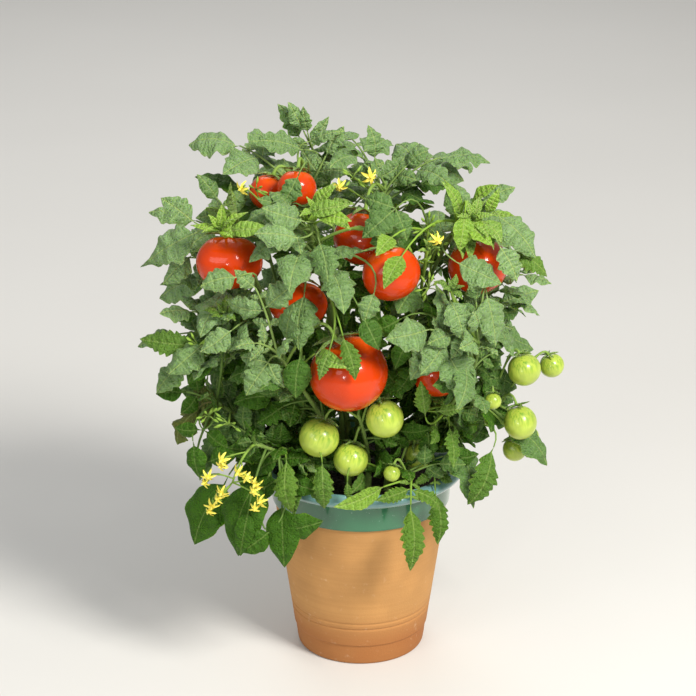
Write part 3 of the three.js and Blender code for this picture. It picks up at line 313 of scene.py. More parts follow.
# Leaflets too close among fruit and leaves for the solid model: stem, where their stalk starts, root,
# tip, whether they have side leaflets, and look
HUNG_LEAFLETS = [
    ("stem_back_high", 1.0, (-57, 64, 489), (-78, 58, 525), 0, "mature_slim"),
    ("stem_back_high", 1.0, (-50, 54, 498), (-54, 50, 525), 0, "mature_slim"),
    ("stem_back_high", 1.0, (-53, 24, 491), (-102, 10, 503), 0, "mature_slim"),
    ("stem_crown_left", 1.0, (-49, 30, 497), (-16, 26, 508), 0, "mature_slim"),
    ("stem_crown_left", 1.0, (-57, -52, 491), (-70, -60, 465), 0, "mature"),
    ("stem_centre_front", 1.0, (-50, -100, 464), (-88, -112, 481), 0, "mature"),
    ("stem_centre_front", 1.0, (-55, -112, 453), (-95, -124, 461), 0, "mature"),
    ("stem_mid_left", 1.0, (-110, -118, 419), (-143, -126, 412), 0, "mature"),
    ("stem_mid_left", 0.95, (-142, -92, 345), (-174, -110, 322), 0, "mature"),
    ("stem_mid_left", 0.9, (-116, -104, 363), (-145, -116, 346), 0, "mature"),
    ("stem_mid_right", 1.0, (78, -112, 396), (90, -120, 359), 0, "mature"),
    ("stem_mid_right", 1.0, (112, -92, 393), (120, -104, 346), 0, "mature"),
    ("stem_mid_right", 0.98, (70, -112, 352), (95, -126, 304), 1, "mature"),
    ("stem_upper_right", 0.8, (30, -78, 469), (0, -96, 447), 1, "mature"),
    ("stem_upper_right", 0.95, (84, -88, 422), (125, -94, 403), 0, "mature"),
    ("stem_upper_right", 1.0, (89, -58, 457), (71, -62, 489), 0, "young"),
    ("stem_upper_right", 1.0, (112, -58, 457), (123, -60, 482), 0, "young"),
    ("stem_centre_front", 0.8, (-17, -134, 369), (-6, -146, 331), 0, "slender"),
    ("stem_centre_front", 0.75, (-29, -135, 355), (-38, -145, 331), 0, "slender"),
    ("stem_front_left_low", 0.8, (-79, -114, 167), (-35, -118, 180), 0, "dark"),
    ("stem_front_left_low", 0.8, (-82, -114, 169), (-112, -112, 145), 0, "dark"),
    ("stem_mid_front", 0.9, (-84, -118, 337), (-104, -126, 308), 1, "mature"),
    ("stem_mid_front", 0.8, (-55, -124, 349), (-59, -130, 307), 0, "dark"),
    ("stem_left_low", 1.0, (-136, -84, 333), (-158, -92, 305), 0, "dark"),
    ("stem_upper_right", 1.0, (92, -76, 464), (87, -86, 431), 0, "young_broad"),
    ("stem_upper_right", 1.0, (93, -74, 454), (117, -85, 436), 0, "young_broad"),
    ("stem_upper_right", 1.0, (107, -70, 455), (125, -80, 437), 0, "young_broad"),
    ("stem_upper_right", 1.0, (122, -60, 457), (156, -76, 421), 0, "mature"),
    ("stem_upper_right", 1.0, (132, -66, 427), (168, -62, 398), 0, "slender"),
    ("stem_upper_right", 1.0, (123, -84, 436), (139, -92, 405), 0, "mature"),
    ("stem_front_left_low", 0.8, (-69, -106, 238), (-63, -114, 186), 0, "slender"),
    ("stem_front_left_low", 0.6, (-36, -112, 236), (-34, -115, 191), 0, "slender"),
    ("stem_front_right_low", 0.3, (-13, -106, 214), (-12, -108, 196), 0, "slender"),
    ("stem_left_low", 1.0, (-155, -86, 246), (-149, -92, 211), 0, "dark"),
    ("stem_left_low", 1.0, (-145, -86, 257), (-122, -92, 242), 0, "dark"),
    ("stem_left_low", 1.0, (-143, -90, 226), (-114, -96, 238), 0, "dark"),
    ("stem_left_low", 1.0, (-147, -84, 256), (-172, -80, 257), 0, "dark"),
    ("stem_front_left_low", 0.9, (-103, -114, 193), (-112, -112, 141), 0, "dark_narrow"),
    ("stem_centre_front", 0.85, (0, -128, 387), (15, -141, 358), 0, "dark"),
    ("stem_mid_right", 0.9, (37, -98, 372), (8, -102, 359), 0, "dark"),
    ("stem_centre_front", 0.9, (11, -122, 406), (2, -130, 379), 0, "mature"),
    ("stem_mid_right", 0.8, (43, -88, 349), (30, -96, 321), 0, "dark"),
    ("stem_mid_right", 0.95, (49, -84, 322), (29, -90, 294), 0, "dark"),
    ("stem_front_low", 1.0, (20, -84, 320), (37, -90, 289), 0, "dark"),
    ("stem_mid_right", 0.6, (58, -104, 278), (53, -110, 316), 0, "slender"),
    ("stem_mid_right", 0.6, (68, -104, 283), (92, -112, 290), 0, "slender"),
    ("stem_mid_left", 1.0, (-147, -84, 339), (-202, -76, 343), 0, "slender"),
    ("stem_mid_left", 1.0, (-141, -88, 339), (-177, -96, 318), 0, "mature"),
    ("stem_mid_left", 0.9, (-162, -84, 322), (-187, -88, 294), 0, "mature"),
    ("stem_right_low", 0.6, (122, -80, 237), (98, -92, 184), 0, "slender"),
    ("stem_upper_left", 0.95, (-147, -72, 445), (-193, -66, 414), 0, "mature"),
    ("stem_upper_left", 0.9, (-154, -60, 418), (-180, -66, 392), 0, "mature"),
    ("stem_upper_left", 1.0, (-151, -58, 449), (-181, -52, 470), 0, "mature"),
    ("stem_upper_left", 1.0, (-119, -102, 456), (-79, -110, 461), 0, "young"),
    ("stem_centre_front", 1.0, (-50, -96, 472), (-11, -104, 481), 0, "young"),
    ("stem_centre_front", 1.0, (-42, -92, 475), (-22, -94, 496), 0, "young"),
    ("stem_centre_front", 1.0, (-39, -100, 470), (-9, -110, 468), 0, "young"),
]

# Growing tips, as rosettes of new leaves: stem, where their stalk starts, heart, leaves, length, look
SHOOTS = [
    ("stem_upper_left", 1.0, (-125, -100, 455), 9, 28, "young"),
    ("stem_centre_front", 1.0, (-40, -92, 470), 7, 24, "young"),
    ("stem_upper_right", 1.0, (99, -66, 454), 7, 26, "young"),
    ("stem_mid_right", 1.0, (80, -112, 404), 8, 17, "slender"),
    ("stem_mid_left", 1.0, (-122, -92, 372), 9, 22, "slender"),
    ("stem_upper_right", 0.7, (59, -84, 432), 6, 14, "young"),
]

# Leaves placed by rule: how many, starting bearing, sweep, lowest and highest place on the crown,
# how far out, leaf length, arch and look. Each starts at the nearest place on a stem.
RULED_LEAVES = [
    (19, -4, 190, -0.72, 0.86, 0.96, 106, 0.42, "mature"),
    (7, -14, 226, -0.9, -0.68, 1, 92, 0.42, "dark"),
]
PLACES_ON_STEM = 20
CROWN_MIDDLE = Vector((-12, 0, 345))
CROWN_REACH = Vector((190, 162, 180))
BASE_RISE = 10

# How a leaf is laid out along its stalk, by its number of side pairs where there are three values
END_SHARE = (0.72, 0.5, 0.42)
END_LENGTH_LIMIT = (52, 54, 56)
PAIR_START = 0.42
PAIR_STEP = 0.56
PAIR_SLIP = 0.012
WIDTH_RANGE = (0.8, 1.08)
DEPTH_RANGE = (0.3, 1.7)
SIDE_LENGTHS = (0.88, 0.7)
SIDE_BEARINGS = (66, 76)
SIDE_DROOP = 0.18
SMALL_LENGTHS = (0.24, 0.36)
SMALL_BEARING = 70
HUNG_SIDE_LENGTH = 0.75
LEAF_STALK_RADIUS = 1.5
LEAF_STALK_TAPER = 0.75

# Painted shade: leaves low on the plant or inside its crown are painted darker, as if the crown shaded them,
# and the highest ones turn to the front
INSIDE_START = 0.95
INSIDE_SHADE = 2
LOW_SHADE = 0.6
LOW_TOP = 350
LOW_END = 220
TOP_START = 498
TOP_END = 530

# The turns, in degrees, and the shrinking that may have kept a leaf of the solid model clear
BEND_SCALES = (1, 0.86, 0.72, 0.6)
BEND_ANGLES = (0, 8, 16, 24, 34)
BEND_WAYS = 8

# A leaflet's blade. Its outline is share ** rise * (1 - share) ** fall, over the peak of that curve.
OVAL_RISE = 0.5
OVAL_FALL = 1.0
OVAL_PEAK = 0.3849
LOBE_SHARPNESS = 3
TEETH_TO_LOBE = 3
MARGIN_WAVES = 2.2
BLADE_FOLD = 0.22
CURL_RANGE = (0.5, 1.5)
ARCH_RANGE = (0.6, 1.5)
TWIST = 0.5
SWAY = 0.05
LEAST_HALF_WIDTH = 0.8
BLADE_THICKNESS = 0.4
RIB_THICKNESS = 0.75
HEEL = 1.2
MARGIN_CROWDING = 0.35
VEIN_SLANT = 0.8

# A piece's blades and petals have its first material, and its stalks the second. Points on a stalk
# store that they are far from any vein and on no lower face.
BLADE_SLOT = 0
STALK_SLOT = 1
FAR_FROM_VEINS = (9.0, 9.0, 0.0)

# Small inner leaves, which fill the crown where they hide no fruit and are given extra painted shade, as if
# the crown shaded them
FILLER_TRIES = 12
FILLER_LENGTHS = (54, 80)
FILLER_TURN = 1.5
FILLER_RISE = (-0.35, 0.45)
FILLER_ARCH = (0.15, 0.4)
FILLER_SHADE = (0.1, 0.5)
FILLER_SPREAD = 0.3
FILLER_LOWEST = 206
CROWN_ROOM = 0.88
FRUIT_ROOM = 5
SIGHT_ROOM = 3
FRUIT = [(Vector(middle), radius) for _, _, _, middle, radius, *_ in RED_TOMATOES + GREEN_TOMATOES]

# How young, shaded and dry stalks, buds and the cones of blooms are
STEM_TONE = (0.1, 0.15, 0)
FRUIT_STALK_TONE = (0.3, 0.05, 0)
DRY_STALK_TONE = (0.3, 0.05, 0.8)
BLOOM_STALK_TONE = (0.4, 0, 0)
BUD_STALK_TONE = (0.3, 0, 0)
BUD_TONE = (0.5, 0, 0)
CONE_TONE = (0, 0.7, 0)

# The fruit whose calyx and the bloom whose petals have dried
DRY_CALYX_FRUIT = "tomato_red_middle"
DRY_BLOOM = "bloom_upper_left"

# The pot's wall outside, lip and wall inside, as radius and height
POT_FOOT = [(0, 0), (57.5, 0), (60.2, 0.7)]
POT_WALL = [(61, 2.2), (62, 8), (63.3, 20), (64.6, 21.6), (66.9, 38.5), (67.4, 41.5), (83, 152.5)]
POT_BAND = [(83, 152.5), (84.8, 153.2), (85.3, 155.2), (86.6, 177.5)]
POT_LIP = [
    (86.6, 177.5), (89.5, 179.2), (95, 180.6), (98.4, 182.8), (100, 186.5), (97.8, 190.6), (93.4, 193.6),
    (90.2, 191.6), (85, 184.6), (80, 176),
]
POT_INSIDE = [(56.5, 12), (0, 12)]
POT_SIDES = 144
POT_SHARP_ANGLE = 40
GLAZE_EDGE = 152.4

# The grooves in the wall: height, depth and width. The wall's rings stand close as far up as they go.
GROOVES = [(39.8, 0.9, 0.9), (46, 0.8, 0.9), (20.6, 0.15, 1)]
CLOSE_RINGS_TOP = 60
CLOSE_RING_STEP = 0.7
WIDE_RING_STEP = 7

DRAIN_COUNT = 3
DRAIN_BEARING = 90
DRAIN_RADIUS = 5
DRAIN_RING = 30
DRAIN_SIDES = 24
DRILL_LENGTH = 50

# The soil: its side inside the pot, its top, and its bumps as pitch and height
SOIL_SIDE = [(0, 12.5), (56, 12.5), (78.5, 168)]
SOIL_TOP = [(79, 171), (62, 173.7), (36, 175), (0, 176)]
SOIL_SIDES = 96
SOIL_BUMPS = [(0.09, 2.2), (0.28, 1.3)]
BUMPS_LOWEST = 170
BUMPS_WIDEST = 77.8
CRUMB_SIZES = (0.3, 1.6)

# The hairs on stems and stalks: how many to each square metre, and their size
HAIR_DENSITY = 90000.0
HAIR_LENGTH = 1.2
HAIR_RADIUS = 0.07
HAIR_SIZES = (0.6, 1.4)

# How far a scattered crumb or hair may be tilted and turned, either way, in radians
SCATTER_TURN = Vector((0.5, 0.5, 3.1))

# Colours that go with the ones a user can set
DRY_STALK = (0.16, 0.085, 0.03, 1)
HAIR_GREEN = (0.5, 0.58, 0.3, 1)
HAIR_PALE = (0.7, 0.74, 0.55, 1)
SKIN_SPECK = (0.95, 0.3, 0.08, 1)
STYLE_SCAR = (0.3, 0.2, 0.06, 1)
PETAL_HEART = (0.85, 0.42, 0.01, 1)
DRY_PETAL = (0.75, 0.72, 0.32, 1)
CLAY_DUST = (0.85, 0.66, 0.46, 1)
CLAY_PIT = (0.26, 0.12, 0.05, 1)
GLAZE_SPECK = (0.5, 0.66, 0.6, 1)
DARK_SOIL = (0.012, 0.009, 0.007, 1)
BROWN_SOIL = (0.05, 0.032, 0.02, 1)
SOIL_FLECK = (0.16, 0.11, 0.06, 1)
FLOOR_GREY = (0.66, 0.65, 0.62, 1)
FLOOR_PALE = (0.7, 0.69, 0.66, 1)
WHITE = (1, 1, 1, 1)


# Settings that a user would change

def user_colour(name, description, default):
    """A colour that a user can set."""
    return FloatVectorProperty(
        name=name, description=description, subtype="COLOR", default=default, min=0, max=1,
    )


class LeafSettings(bpy.types.PropertyGroup):
    """Sizes and colours of the leaves and stems."""

    quilting: FloatProperty(
        name="Quilting", description="How far a blade bulges between its side veins, in leaflet lengths",
        default=0.055, min=0, max=0.1,
    )
    fillers: IntProperty(
        name="Inner leaves", description="Small leaves inside the crown, for each stem",
        default=16, min=0, max=20,
    )
    mature: user_colour("Mature", "Colour of a full-grown blade", (0.168, 0.272, 0.108))
    young: user_colour("Young", "Colour of a new shoot", (0.24, 0.42, 0.02))
    # The shaded colour is painted shade: blades that are low, inside the crown or of the dark looks mix
    # towards it
    shaded: user_colour("Shaded", "Colour of the low, smooth-edged blades", (0.032, 0.1, 0.0))
    ageing: user_colour("Ageing", "Colour of an old, drying blade", (0.11, 0.11, 0.018))
    underside: user_colour("Underside", "Colour of a blade's lower face", (0.22, 0.33, 0.11))
    vein: user_colour("Vein", "Colour of the midrib and side veins", (0.37, 0.48, 0.14))
    stalk: user_colour("Stalk", "Colour of stems and stalks", (0.22, 0.33, 0.08))


class FruitSettings(bpy.types.PropertyGroup):
    """Colours of the fruit and blooms."""

    ripe: user_colour("Ripe", "Colour of a ripe tomato", (0.64, 0.047, 0.002))
    shoulder: user_colour("Shoulder", "Colour round the stalk of a ripe tomato", (0.76, 0.125, 0.004))
    unripe: user_colour("Unripe", "Colour of an unripe tomato", (0.45, 0.57, 0.07))
    marbling: user_colour("Marbling", "Colour of the green streaks on an unripe tomato", (0.13, 0.3, 0.02))
    petal: user_colour("Petal", "Colour of the petals", (0.95, 0.72, 0.02))


class PotSettings(bpy.types.PropertyGroup):
    """Colours and sizes of the pot and its soil."""

    clay: user_colour("Clay", "Colour of the bare clay", (0.48, 0.245, 0.078))
    warm_clay: user_colour("Warm clay", "Colour of the clay near the foot", (0.35, 0.125, 0.03))
    glaze: user_colour("Glaze", "Colour of the glazed band", (0.026, 0.135, 0.06))
    # The lip's colour is a painted reflection of the sky, paler and bluer than the glaze
    lip_sky_reflection: user_colour("Lip glaze", "Colour of the glaze on the lip", (0.16, 0.33, 0.32))
    crumbs: IntProperty(
        name="Crumbs", description="Crumbs of soil to each square metre", default=70000, min=0, max=200000,
    )


class StageSettings(bpy.types.PropertyGroup):
    """The floor and the lights."""

    floor_size: FloatProperty(
        name="Floor", description="Side of the floor", default=14, min=1, unit="LENGTH",
    )
    key_power: FloatProperty(
        name="Key light", description="Power of the light from high on the right", default=94, unit="POWER",
    )
    fill_power: FloatProperty(
        name="Fill light", description="Power of the soft lights from the left and behind", default=15,
        unit="POWER",
    )
    front_power: FloatProperty(
        name="Front light", description="Power of the small light beside the camera", default=7, unit="POWER",
    )
    sky: FloatProperty(
        name="Sky", description="Strength of the even light all round", default=0.42, min=0,
    )


# Shader sums

class Signal:
    """A value that varies over a surface, used in sums as if it were a number."""

    def __init__(self, board, socket):
        self.board = board
        self.socket = socket

    def _sum(self, operation, *values):
        return self.board.add("ShaderNodeMath", {"operation": operation}, dict(enumerate(values)))

    def __add__(self, other):
        return self._sum("ADD", self, other)

    def __radd__(self, other):
        return self._sum("ADD", other, self)

    def __sub__(self, other):
        return self._sum("SUBTRACT", self, other)

    def __rsub__(self, other):
        return self._sum("SUBTRACT", other, self)

    def __mul__(self, other):
        return self._sum("MULTIPLY", self, other)

    def __truediv__(self, other):
        return self._sum("DIVIDE", self, other)

    def most(self, other):
        """The larger of this and the other value."""
        return self._sum("MAXIMUM", self, other)

    def between(self, low, high):
        """Runs smoothly from 0 at low to 1 at high."""
        return self.board.add(
            "ShaderNodeMapRange", {"interpolation_type": "SMOOTHSTEP"}, {0: self, 1: low, 2: high},
        )


class Board:
    """A material and the nodes that make its finish."""

    def __init__(self, name):
        self.material = bpy.data.materials.new(name)
        self.material.use_nodes = True
        self.tree = self.material.node_tree
        self.tree.nodes.clear()
        self.place = self.add("ShaderNodeTexCoord", output="Object")

    def add(self, kind, settings=None, values=None, output=0):
        """Adds a node, makes its settings, fills its sockets with values or links, and gives an output."""
        node = self.tree.nodes.new(kind)
        for name, setting in (settings or {}).items():
            setattr(node, name, setting)
        for key, value in (values or {}).items():
            if isinstance(value, Signal):
                self.tree.links.new(value.socket, node.inputs[key])
            else:
                node.inputs[key].default_value = value
        return Signal(self, node.outputs[output])

    def attribute(self, name):
        """The three numbers that a piece stores under this name, each as a signal."""
        stored = self.add("ShaderNodeAttribute", {"attribute_name": name}, output="Vector")
        split = self.add("ShaderNodeSeparateXYZ", None, {0: stored}).socket.node
        return [Signal(self, socket) for socket in split.outputs]

    def mottle(self, size, detail=2):
        """Soft noise, from 0 to 1, whose patches are about this many millimetres across."""
        scale = 1 / (size * MM)
        return self.add(
            "ShaderNodeTexNoise", None, {"Vector": self.place, "Scale": scale, "Detail": detail},
        )

    def mix(self, share, first, second):
        """A colour that goes from the first to the second."""
        return self.add("ShaderNodeMix", {"data_type": "RGBA"}, {0: share, 6: first, 7: second}, output=2)

    def varied(self, share, base, strength):
        """A colour that goes from a setting to the same made this many times as strong."""
        return self.mix(share, paint(base), paint(base, strength))

    def bump(self, height, depth):
        """A surface direction that follows a height, whose full range is this many millimetres."""
        return self.add(
            "ShaderNodeBump", None, {"Height": height, "Distance": depth * MM, "Strength": 1},
        )

    def finish(self, colour, roughness, normal=None, coat=None, **constants):
        """Joins the finish to the output. Constants are set on the shader's own sockets."""
        values = {"Base Color": colour, "Roughness": roughness}
        if normal:
            values["Normal"] = normal
        if coat is not None:
            values["Coat Weight"] = coat
        values.update((name.replace("_", " "), value) for name, value in constants.items())
        shader = self.add("ShaderNodeBsdfPrincipled", None, values)
        end = self.tree.nodes.new("ShaderNodeOutputMaterial")
        self.tree.links.new(shader.socket, end.inputs["Surface"])
        return self.material


def paint(colour, strength=1.0):
    """A colour property as the four numbers that a socket takes."""
    return (*(channel * strength for channel in colour), 1)


def material(name, make):
    """The material of this name, made the first time that it is asked for."""
    return bpy.data.materials.get(name) or make()


# Materials

def leaf_material():
    """Quilted blades with paler veins; tone says how young, shaded or dry, sides where the veins are."""
    look = bpy.context.scene.tomato_leaf
    board = Board("leaf_blade")
    youth, shade, dry = board.attribute("tone")
    to_vein, to_midrib, under = board.attribute("sides")
    patches = board.mottle(14)
    grain = board.mottle(1.2)
    net = board.add(
        "ShaderNodeTexVoronoi", {"feature": "DISTANCE_TO_EDGE"}, {"Vector": board.place, "Scale": 290},
    )
    panels = net.between(0.0, 0.45)
    blade = board.varied(patches.between(0.3, 0.75) * 0.55, look.mature, 1.35)
    blade = board.mix(youth, blade, paint(look.young))
    # Painted shade: the stored shade mixes the blade towards the shaded colour
    blade = board.mix(shade, blade, paint(look.shaded))
    blade = board.mix(dry, blade, paint(look.ageing))
    midrib = 1 - to_midrib.between(0.3, 1)
    side_vein = (1 - to_vein.between(0.15, 0.8)) * 0.5
    # The veins and the fine net fade where shade is painted
    veins = midrib.most(side_vein) * (1 - shade * 0.65)
    # Painted shade in the creases on both sides of each side vein
    vein_side_shade = to_vein.between(0.4, 1.3) - to_vein.between(1.3, 3.2)
    blade = board.mix(vein_side_shade * 0.25, blade, paint(look.shaded))
    blade = board.mix(veins * 0.5, blade, paint(look.vein))
    blade = board.mix((1 - panels) * (1 - shade) * 0.08, blade, paint(look.vein))
    blade = board.mix(under * 0.75, blade, paint(look.underside))
    relief = panels * 0.7 + grain * 0.2 - veins * 0.5
    return board.finish(
        blade, 0.4 + shade * 0.25 + grain * 0.15, board.bump(relief, 1.3), Specular_IOR_Level=0.27,
        Subsurface_Weight=0.35, Subsurface_Scale=MM, Subsurface_Radius=(0.6, 1, 0.15),
    )


def stalk_material():
    """Pale green skin of stems, stalks and calyxes, browner where it is old or dry."""
    look = bpy.context.scene.tomato_leaf
    board = Board("stalk_skin")
    youth, shade, dry = board.attribute("tone")
    streaks = board.mottle(9, 3)
    fine = board.mottle(1.1)
    skin = board.varied(streaks.between(0.35, 0.7) * 0.5, look.stalk, 0.55)
    skin = board.mix(youth, skin, paint(look.young, 1.15))
    # Painted shade: the stored shade, from the leaf for a leaf stalk, mixes towards a darker shaded colour
    skin = board.mix(shade, skin, paint(look.shaded, 1.3))
    skin = board.mix(dry, skin, DRY_STALK)
    return board.finish(skin, 0.55 + fine * 0.2, board.bump(fine, 0.25), Specular_IOR_Level=0.35)


def hair_material():
    """Pale, fine hairs."""
    board = Board("stem_hair")
    tips = board.mottle(30)
    return board.finish(board.mix(tips, HAIR_GREEN, HAIR_PALE), 0.5 + tips * 0.2)


def ripe_material():
    """Glossy orange-red skin, more orange at the shoulders, with tiny pale specks."""
    look = bpy.context.scene.tomato_fruit
    board = Board("ripe_skin")
    height = board.attribute("skin")[2]
    patches = board.mottle(22)
    specks = board.add("ShaderNodeTexVoronoi", None, {"Vector": board.place, "Scale": 620})
    shoulders = height.between(0.35, 1.0) * (0.5 + patches * 0.5)
    skin = board.varied(patches.between(0.3, 0.7) * 0.5, look.ripe, 0.72)
    skin = board.mix(shoulders * 0.7, skin, paint(look.shoulder))
    skin = board.mix((1 - specks.between(0.04, 0.16)) * 0.25, skin, SKIN_SPECK)
    dimples = board.mottle(3.5)
    return board.finish(
        skin, 0.22 + patches * 0.08, board.bump(dimples, 0.05), coat=0.32 + patches * 0.2,
        Coat_Roughness=0.05, Specular_IOR_Level=0.12,
    )


def unripe_material():
    """Glossy pale green skin with darker streaks from the stalk end and a brown scar below."""
    look = bpy.context.scene.tomato_fruit
    board = Board("unripe_skin")
    round_x, round_y, height = board.attribute("skin")
    meridian = board.add(
        "ShaderNodeCombineXYZ", None, {0: round_x * 4.5, 1: round_y * 4.5, 2: height * 0.9},
    )
    streaks = board.add("ShaderNodeTexNoise", None, {"Vector": meridian, "Scale": 1.6, "Detail": 4})
    patches = board.mottle(12)
    marbled = streaks.between(0.46, 0.68) * height.between(-0.7, 0.75) * 0.85
    skin = board.varied(patches.between(0.3, 0.7), look.unripe, 0.8)
    skin = board.mix(marbled, skin, paint(look.marbling))
    skin = board.mix((1 - height.between(-1.0, -0.9)) * 0.8, skin, STYLE_SCAR)
    return board.finish(
        skin, 0.26 + patches * 0.1, board.bump(streaks, 0.08), coat=0.2 + patches * 0.2,
        Coat_Roughness=0.08, Specular_IOR_Level=0.4,
    )


def petal_material():
    """Satin yellow petals, deeper in patches and where shade is stored, paler where dryness is."""
    look = bpy.context.scene.tomato_fruit
    board = Board("petal")
    _, shade, dry = board.attribute("tone")
    patches = board.mottle(3)
    petal = board.mix(patches.between(0.4, 0.7) * 0.5, paint(look.petal), PETAL_HEART)
    petal = board.mix(shade, petal, PETAL_HEART)
    petal = board.mix(dry, petal, DRY_PETAL)
    return board.finish(petal, 0.5 + patches * 0.15, board.bump(patches, 0.2), Specular_IOR_Level=0.2)


def turning_rings(board, across, deep, height):
    """Noise drawn out round the pot's axis, like the marks of turning."""
    place = board.add("ShaderNodeCombineXYZ", None, {0: across * 0.004, 1: deep * 0.004, 2: height * 0.55})
    return board.add("ShaderNodeTexNoise", None, {"Vector": place, "Scale": 1, "Detail": 3})


def bare_clay(board, look, height, clouds, grain, dust, rings):
    """The clay's colour, warmer near the foot, with dust and small dark pits."""
    clay = board.varied(clouds.between(0.35, 0.7) * 0.6, look.clay, 1.22)
    low = (1 - height.between(18, 62)) * (0.75 + clouds * 0.5)
    clay = board.mix(low * 0.85, clay, paint(look.warm_clay))
    clay = board.mix(rings.between(0.42, 0.7) * 0.1, clay, paint(look.warm_clay, 0.9))
    clay = board.mix(dust.between(0.62, 0.8) * 0.2, clay, CLAY_DUST)
    return board.mix(grain.between(0.66, 0.78) * 0.3, clay, CLAY_PIT)


def pooled_glaze(board, look, height, clouds, grain, dust, edge):
    """The glaze's colour, stronger where it pooled, thin at its lower edge, and on the lip a paler painted
    reflection of the sky.
    """
    pooled = clouds.between(0.3, 0.75) * 0.5 + dust * 0.2
    glaze = board.varied(pooled, look.glaze, 1.5)
    # Painted reflection: the lip is painted a paler blue, as if it reflected the sky
    glaze = board.mix(height.between(178, 186), glaze, paint(look.lip_sky_reflection))
    glaze = board.mix(grain.between(0.68, 0.74) * 0.35, glaze, GLAZE_SPECK)
    start = edge.between(GLAZE_EDGE + 0.4, GLAZE_EDGE + 1.2)
    thin = start - edge.between(GLAZE_EDGE + 1.4, GLAZE_EDGE + 3)
    return board.mix(thin * 0.5, glaze, paint(look.glaze, 0.5))


def pot_material():
    """Bare clay with turning marks below a green glazed band and a lip whose paler glaze is a painted
    reflection of the sky.
    """
    look = bpy.context.scene.tomato_pot
    board = Board("glazed_clay")
    split = board.add("ShaderNodeSeparateXYZ", None, {0: board.place}).socket.node
    across, deep, height = [Signal(board, socket) / MM for socket in split.outputs]
    clouds = board.mottle(38, 3)
    grain = board.mottle(1.6, 4)
    dust = board.mottle(7, 5)
    rings = turning_rings(board, across, deep, height)
    edge = height + clouds * 1.6 + grain * 0.5
    glazed = edge.between(GLAZE_EDGE + 0.6, GLAZE_EDGE + 1.5)
    clay = bare_clay(board, look, height, clouds, grain, dust, rings)
    glaze = pooled_glaze(board, look, height, clouds, grain, dust, edge)
    relief = (grain * 0.4 + rings * 0.25) * (1 - glazed) + clouds * 0.4 * glazed
    rough = 0.82 - glazed * 0.66 + grain * 0.08
    return board.finish(
        board.mix(glazed, clay, glaze), rough, board.bump(relief, 0.5), coat=glazed * 0.8,
        Coat_Roughness=0.06,
    )


def soil_material():
    """Dark, moist, crumbly soil with brown flecks."""
    board = Board("potting_soil")
    crumbs = board.mottle(3.2, 5)
    flecks = board.mottle(1.4)
    soil = board.mix(crumbs.between(0.3, 0.7), DARK_SOIL, BROWN_SOIL)
    soil = board.mix(flecks.between(0.66, 0.74) * 0.5, soil, SOIL_FLECK)
    return board.finish(soil, 0.85 + flecks * 0.1, board.bump(crumbs, 1.5))


def floor_material():
    """A plain pale floor."""
    board = Board("pale_floor")
    shade = board.mottle(400)
    return board.finish(board.mix(shade, FLOOR_GREY, FLOOR_PALE), 0.75 + shade * 0.05)


# Mesh making

class Shell:
    """The points and faces of a piece being made, in millimetres, with the values of its surface."""

    def __init__(self):
        self.places = []
        self.faces = []
        self.slots = []
        self.tones = []
        self.sides = []
        self.rims = []
        self.count = 0

    def add(self, places, faces, slot, tone, sides=None, rim=None):
        """Adds a closed body, with its material slot, its tone and where its veins and sharp rim are."""
        size = len(places)
        start = self.count
        self.places.append(np.asarray(places, float))
        self.faces.extend([tuple(corner + start for corner in face) for face in faces])
        self.slots.extend([slot] * len(faces))
        self.tones.append(np.broadcast_to(np.asarray(tone, float), (size, 3)))
        self.sides.append(np.full((size, 3), FAR_FROM_VEINS) if sides is None else sides)
        self.rims.append(np.zeros(size, bool) if rim is None else rim)
        self.count += size

    def build(self, name, materials):
        """Makes the mesh and its object, smooth but for the blades' rims."""
        mesh = smooth_mesh(name, (eased(np.vstack(self.places)) * MM).tolist(), self.faces)
        for made in materials:
            mesh.materials.append(made)
        mesh.polygons.foreach_set("material_index", self.slots)
        store(mesh, "tone", np.vstack(self.tones))
        store(mesh, "sides", np.vstack(self.sides))
        ends = np.empty(len(mesh.edges) * 2, np.int32)
        mesh.edges.foreach_get("vertices", ends)
        rim = np.concatenate(self.rims)
        ends = ends.reshape(-1, 2)
        mesh.edges.foreach_set("use_edge_sharp", rim[ends[:, 0]] & rim[ends[:, 1]])
        mesh.update()
        return link(name, mesh)


def eased(places):
    """Places pressed softly back inside the solid model's box, so that a bent blade stays thick."""
    low, high = np.array(cad_box) / MM
    for edge, way in ((low, 1), (high, -1)):
        room = (places - edge) * way
        pressed = EDGE_ROOM * np.exp(np.minimum(room / EDGE_ROOM - 1, 0))
        places = np.where(room < EDGE_ROOM, edge + pressed * way, places)
    return places


def smooth_mesh(name, places, faces):
    """A mesh with smooth faces, from places in metres."""
    mesh = bpy.data.meshes.new(name)
    mesh.from_pydata(places, [], faces)
    mesh.polygons.foreach_set("use_smooth", [True] * len(faces))
    return mesh


def store(mesh, name, rows):
    """Stores three numbers for each point of a mesh, for its material to read."""
    stored = mesh.attributes.new(name, "FLOAT_VECTOR", "POINT")
    stored.data.foreach_set("vector", rows.astype(np.float32).ravel())


def link(name, mesh):
    """An object for this mesh, in the scene."""
    piece = bpy.data.objects.new(name, mesh)
    bpy.context.scene.collection.objects.link(piece)
    return piece


def settle(piece, slot, *nodes):
    """Attaches a finished piece to the root body and hides the solid nodes that it stands for. The slot is
    not used.
    """
    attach(piece, "root")
    if nodes:
        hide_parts(*nodes)


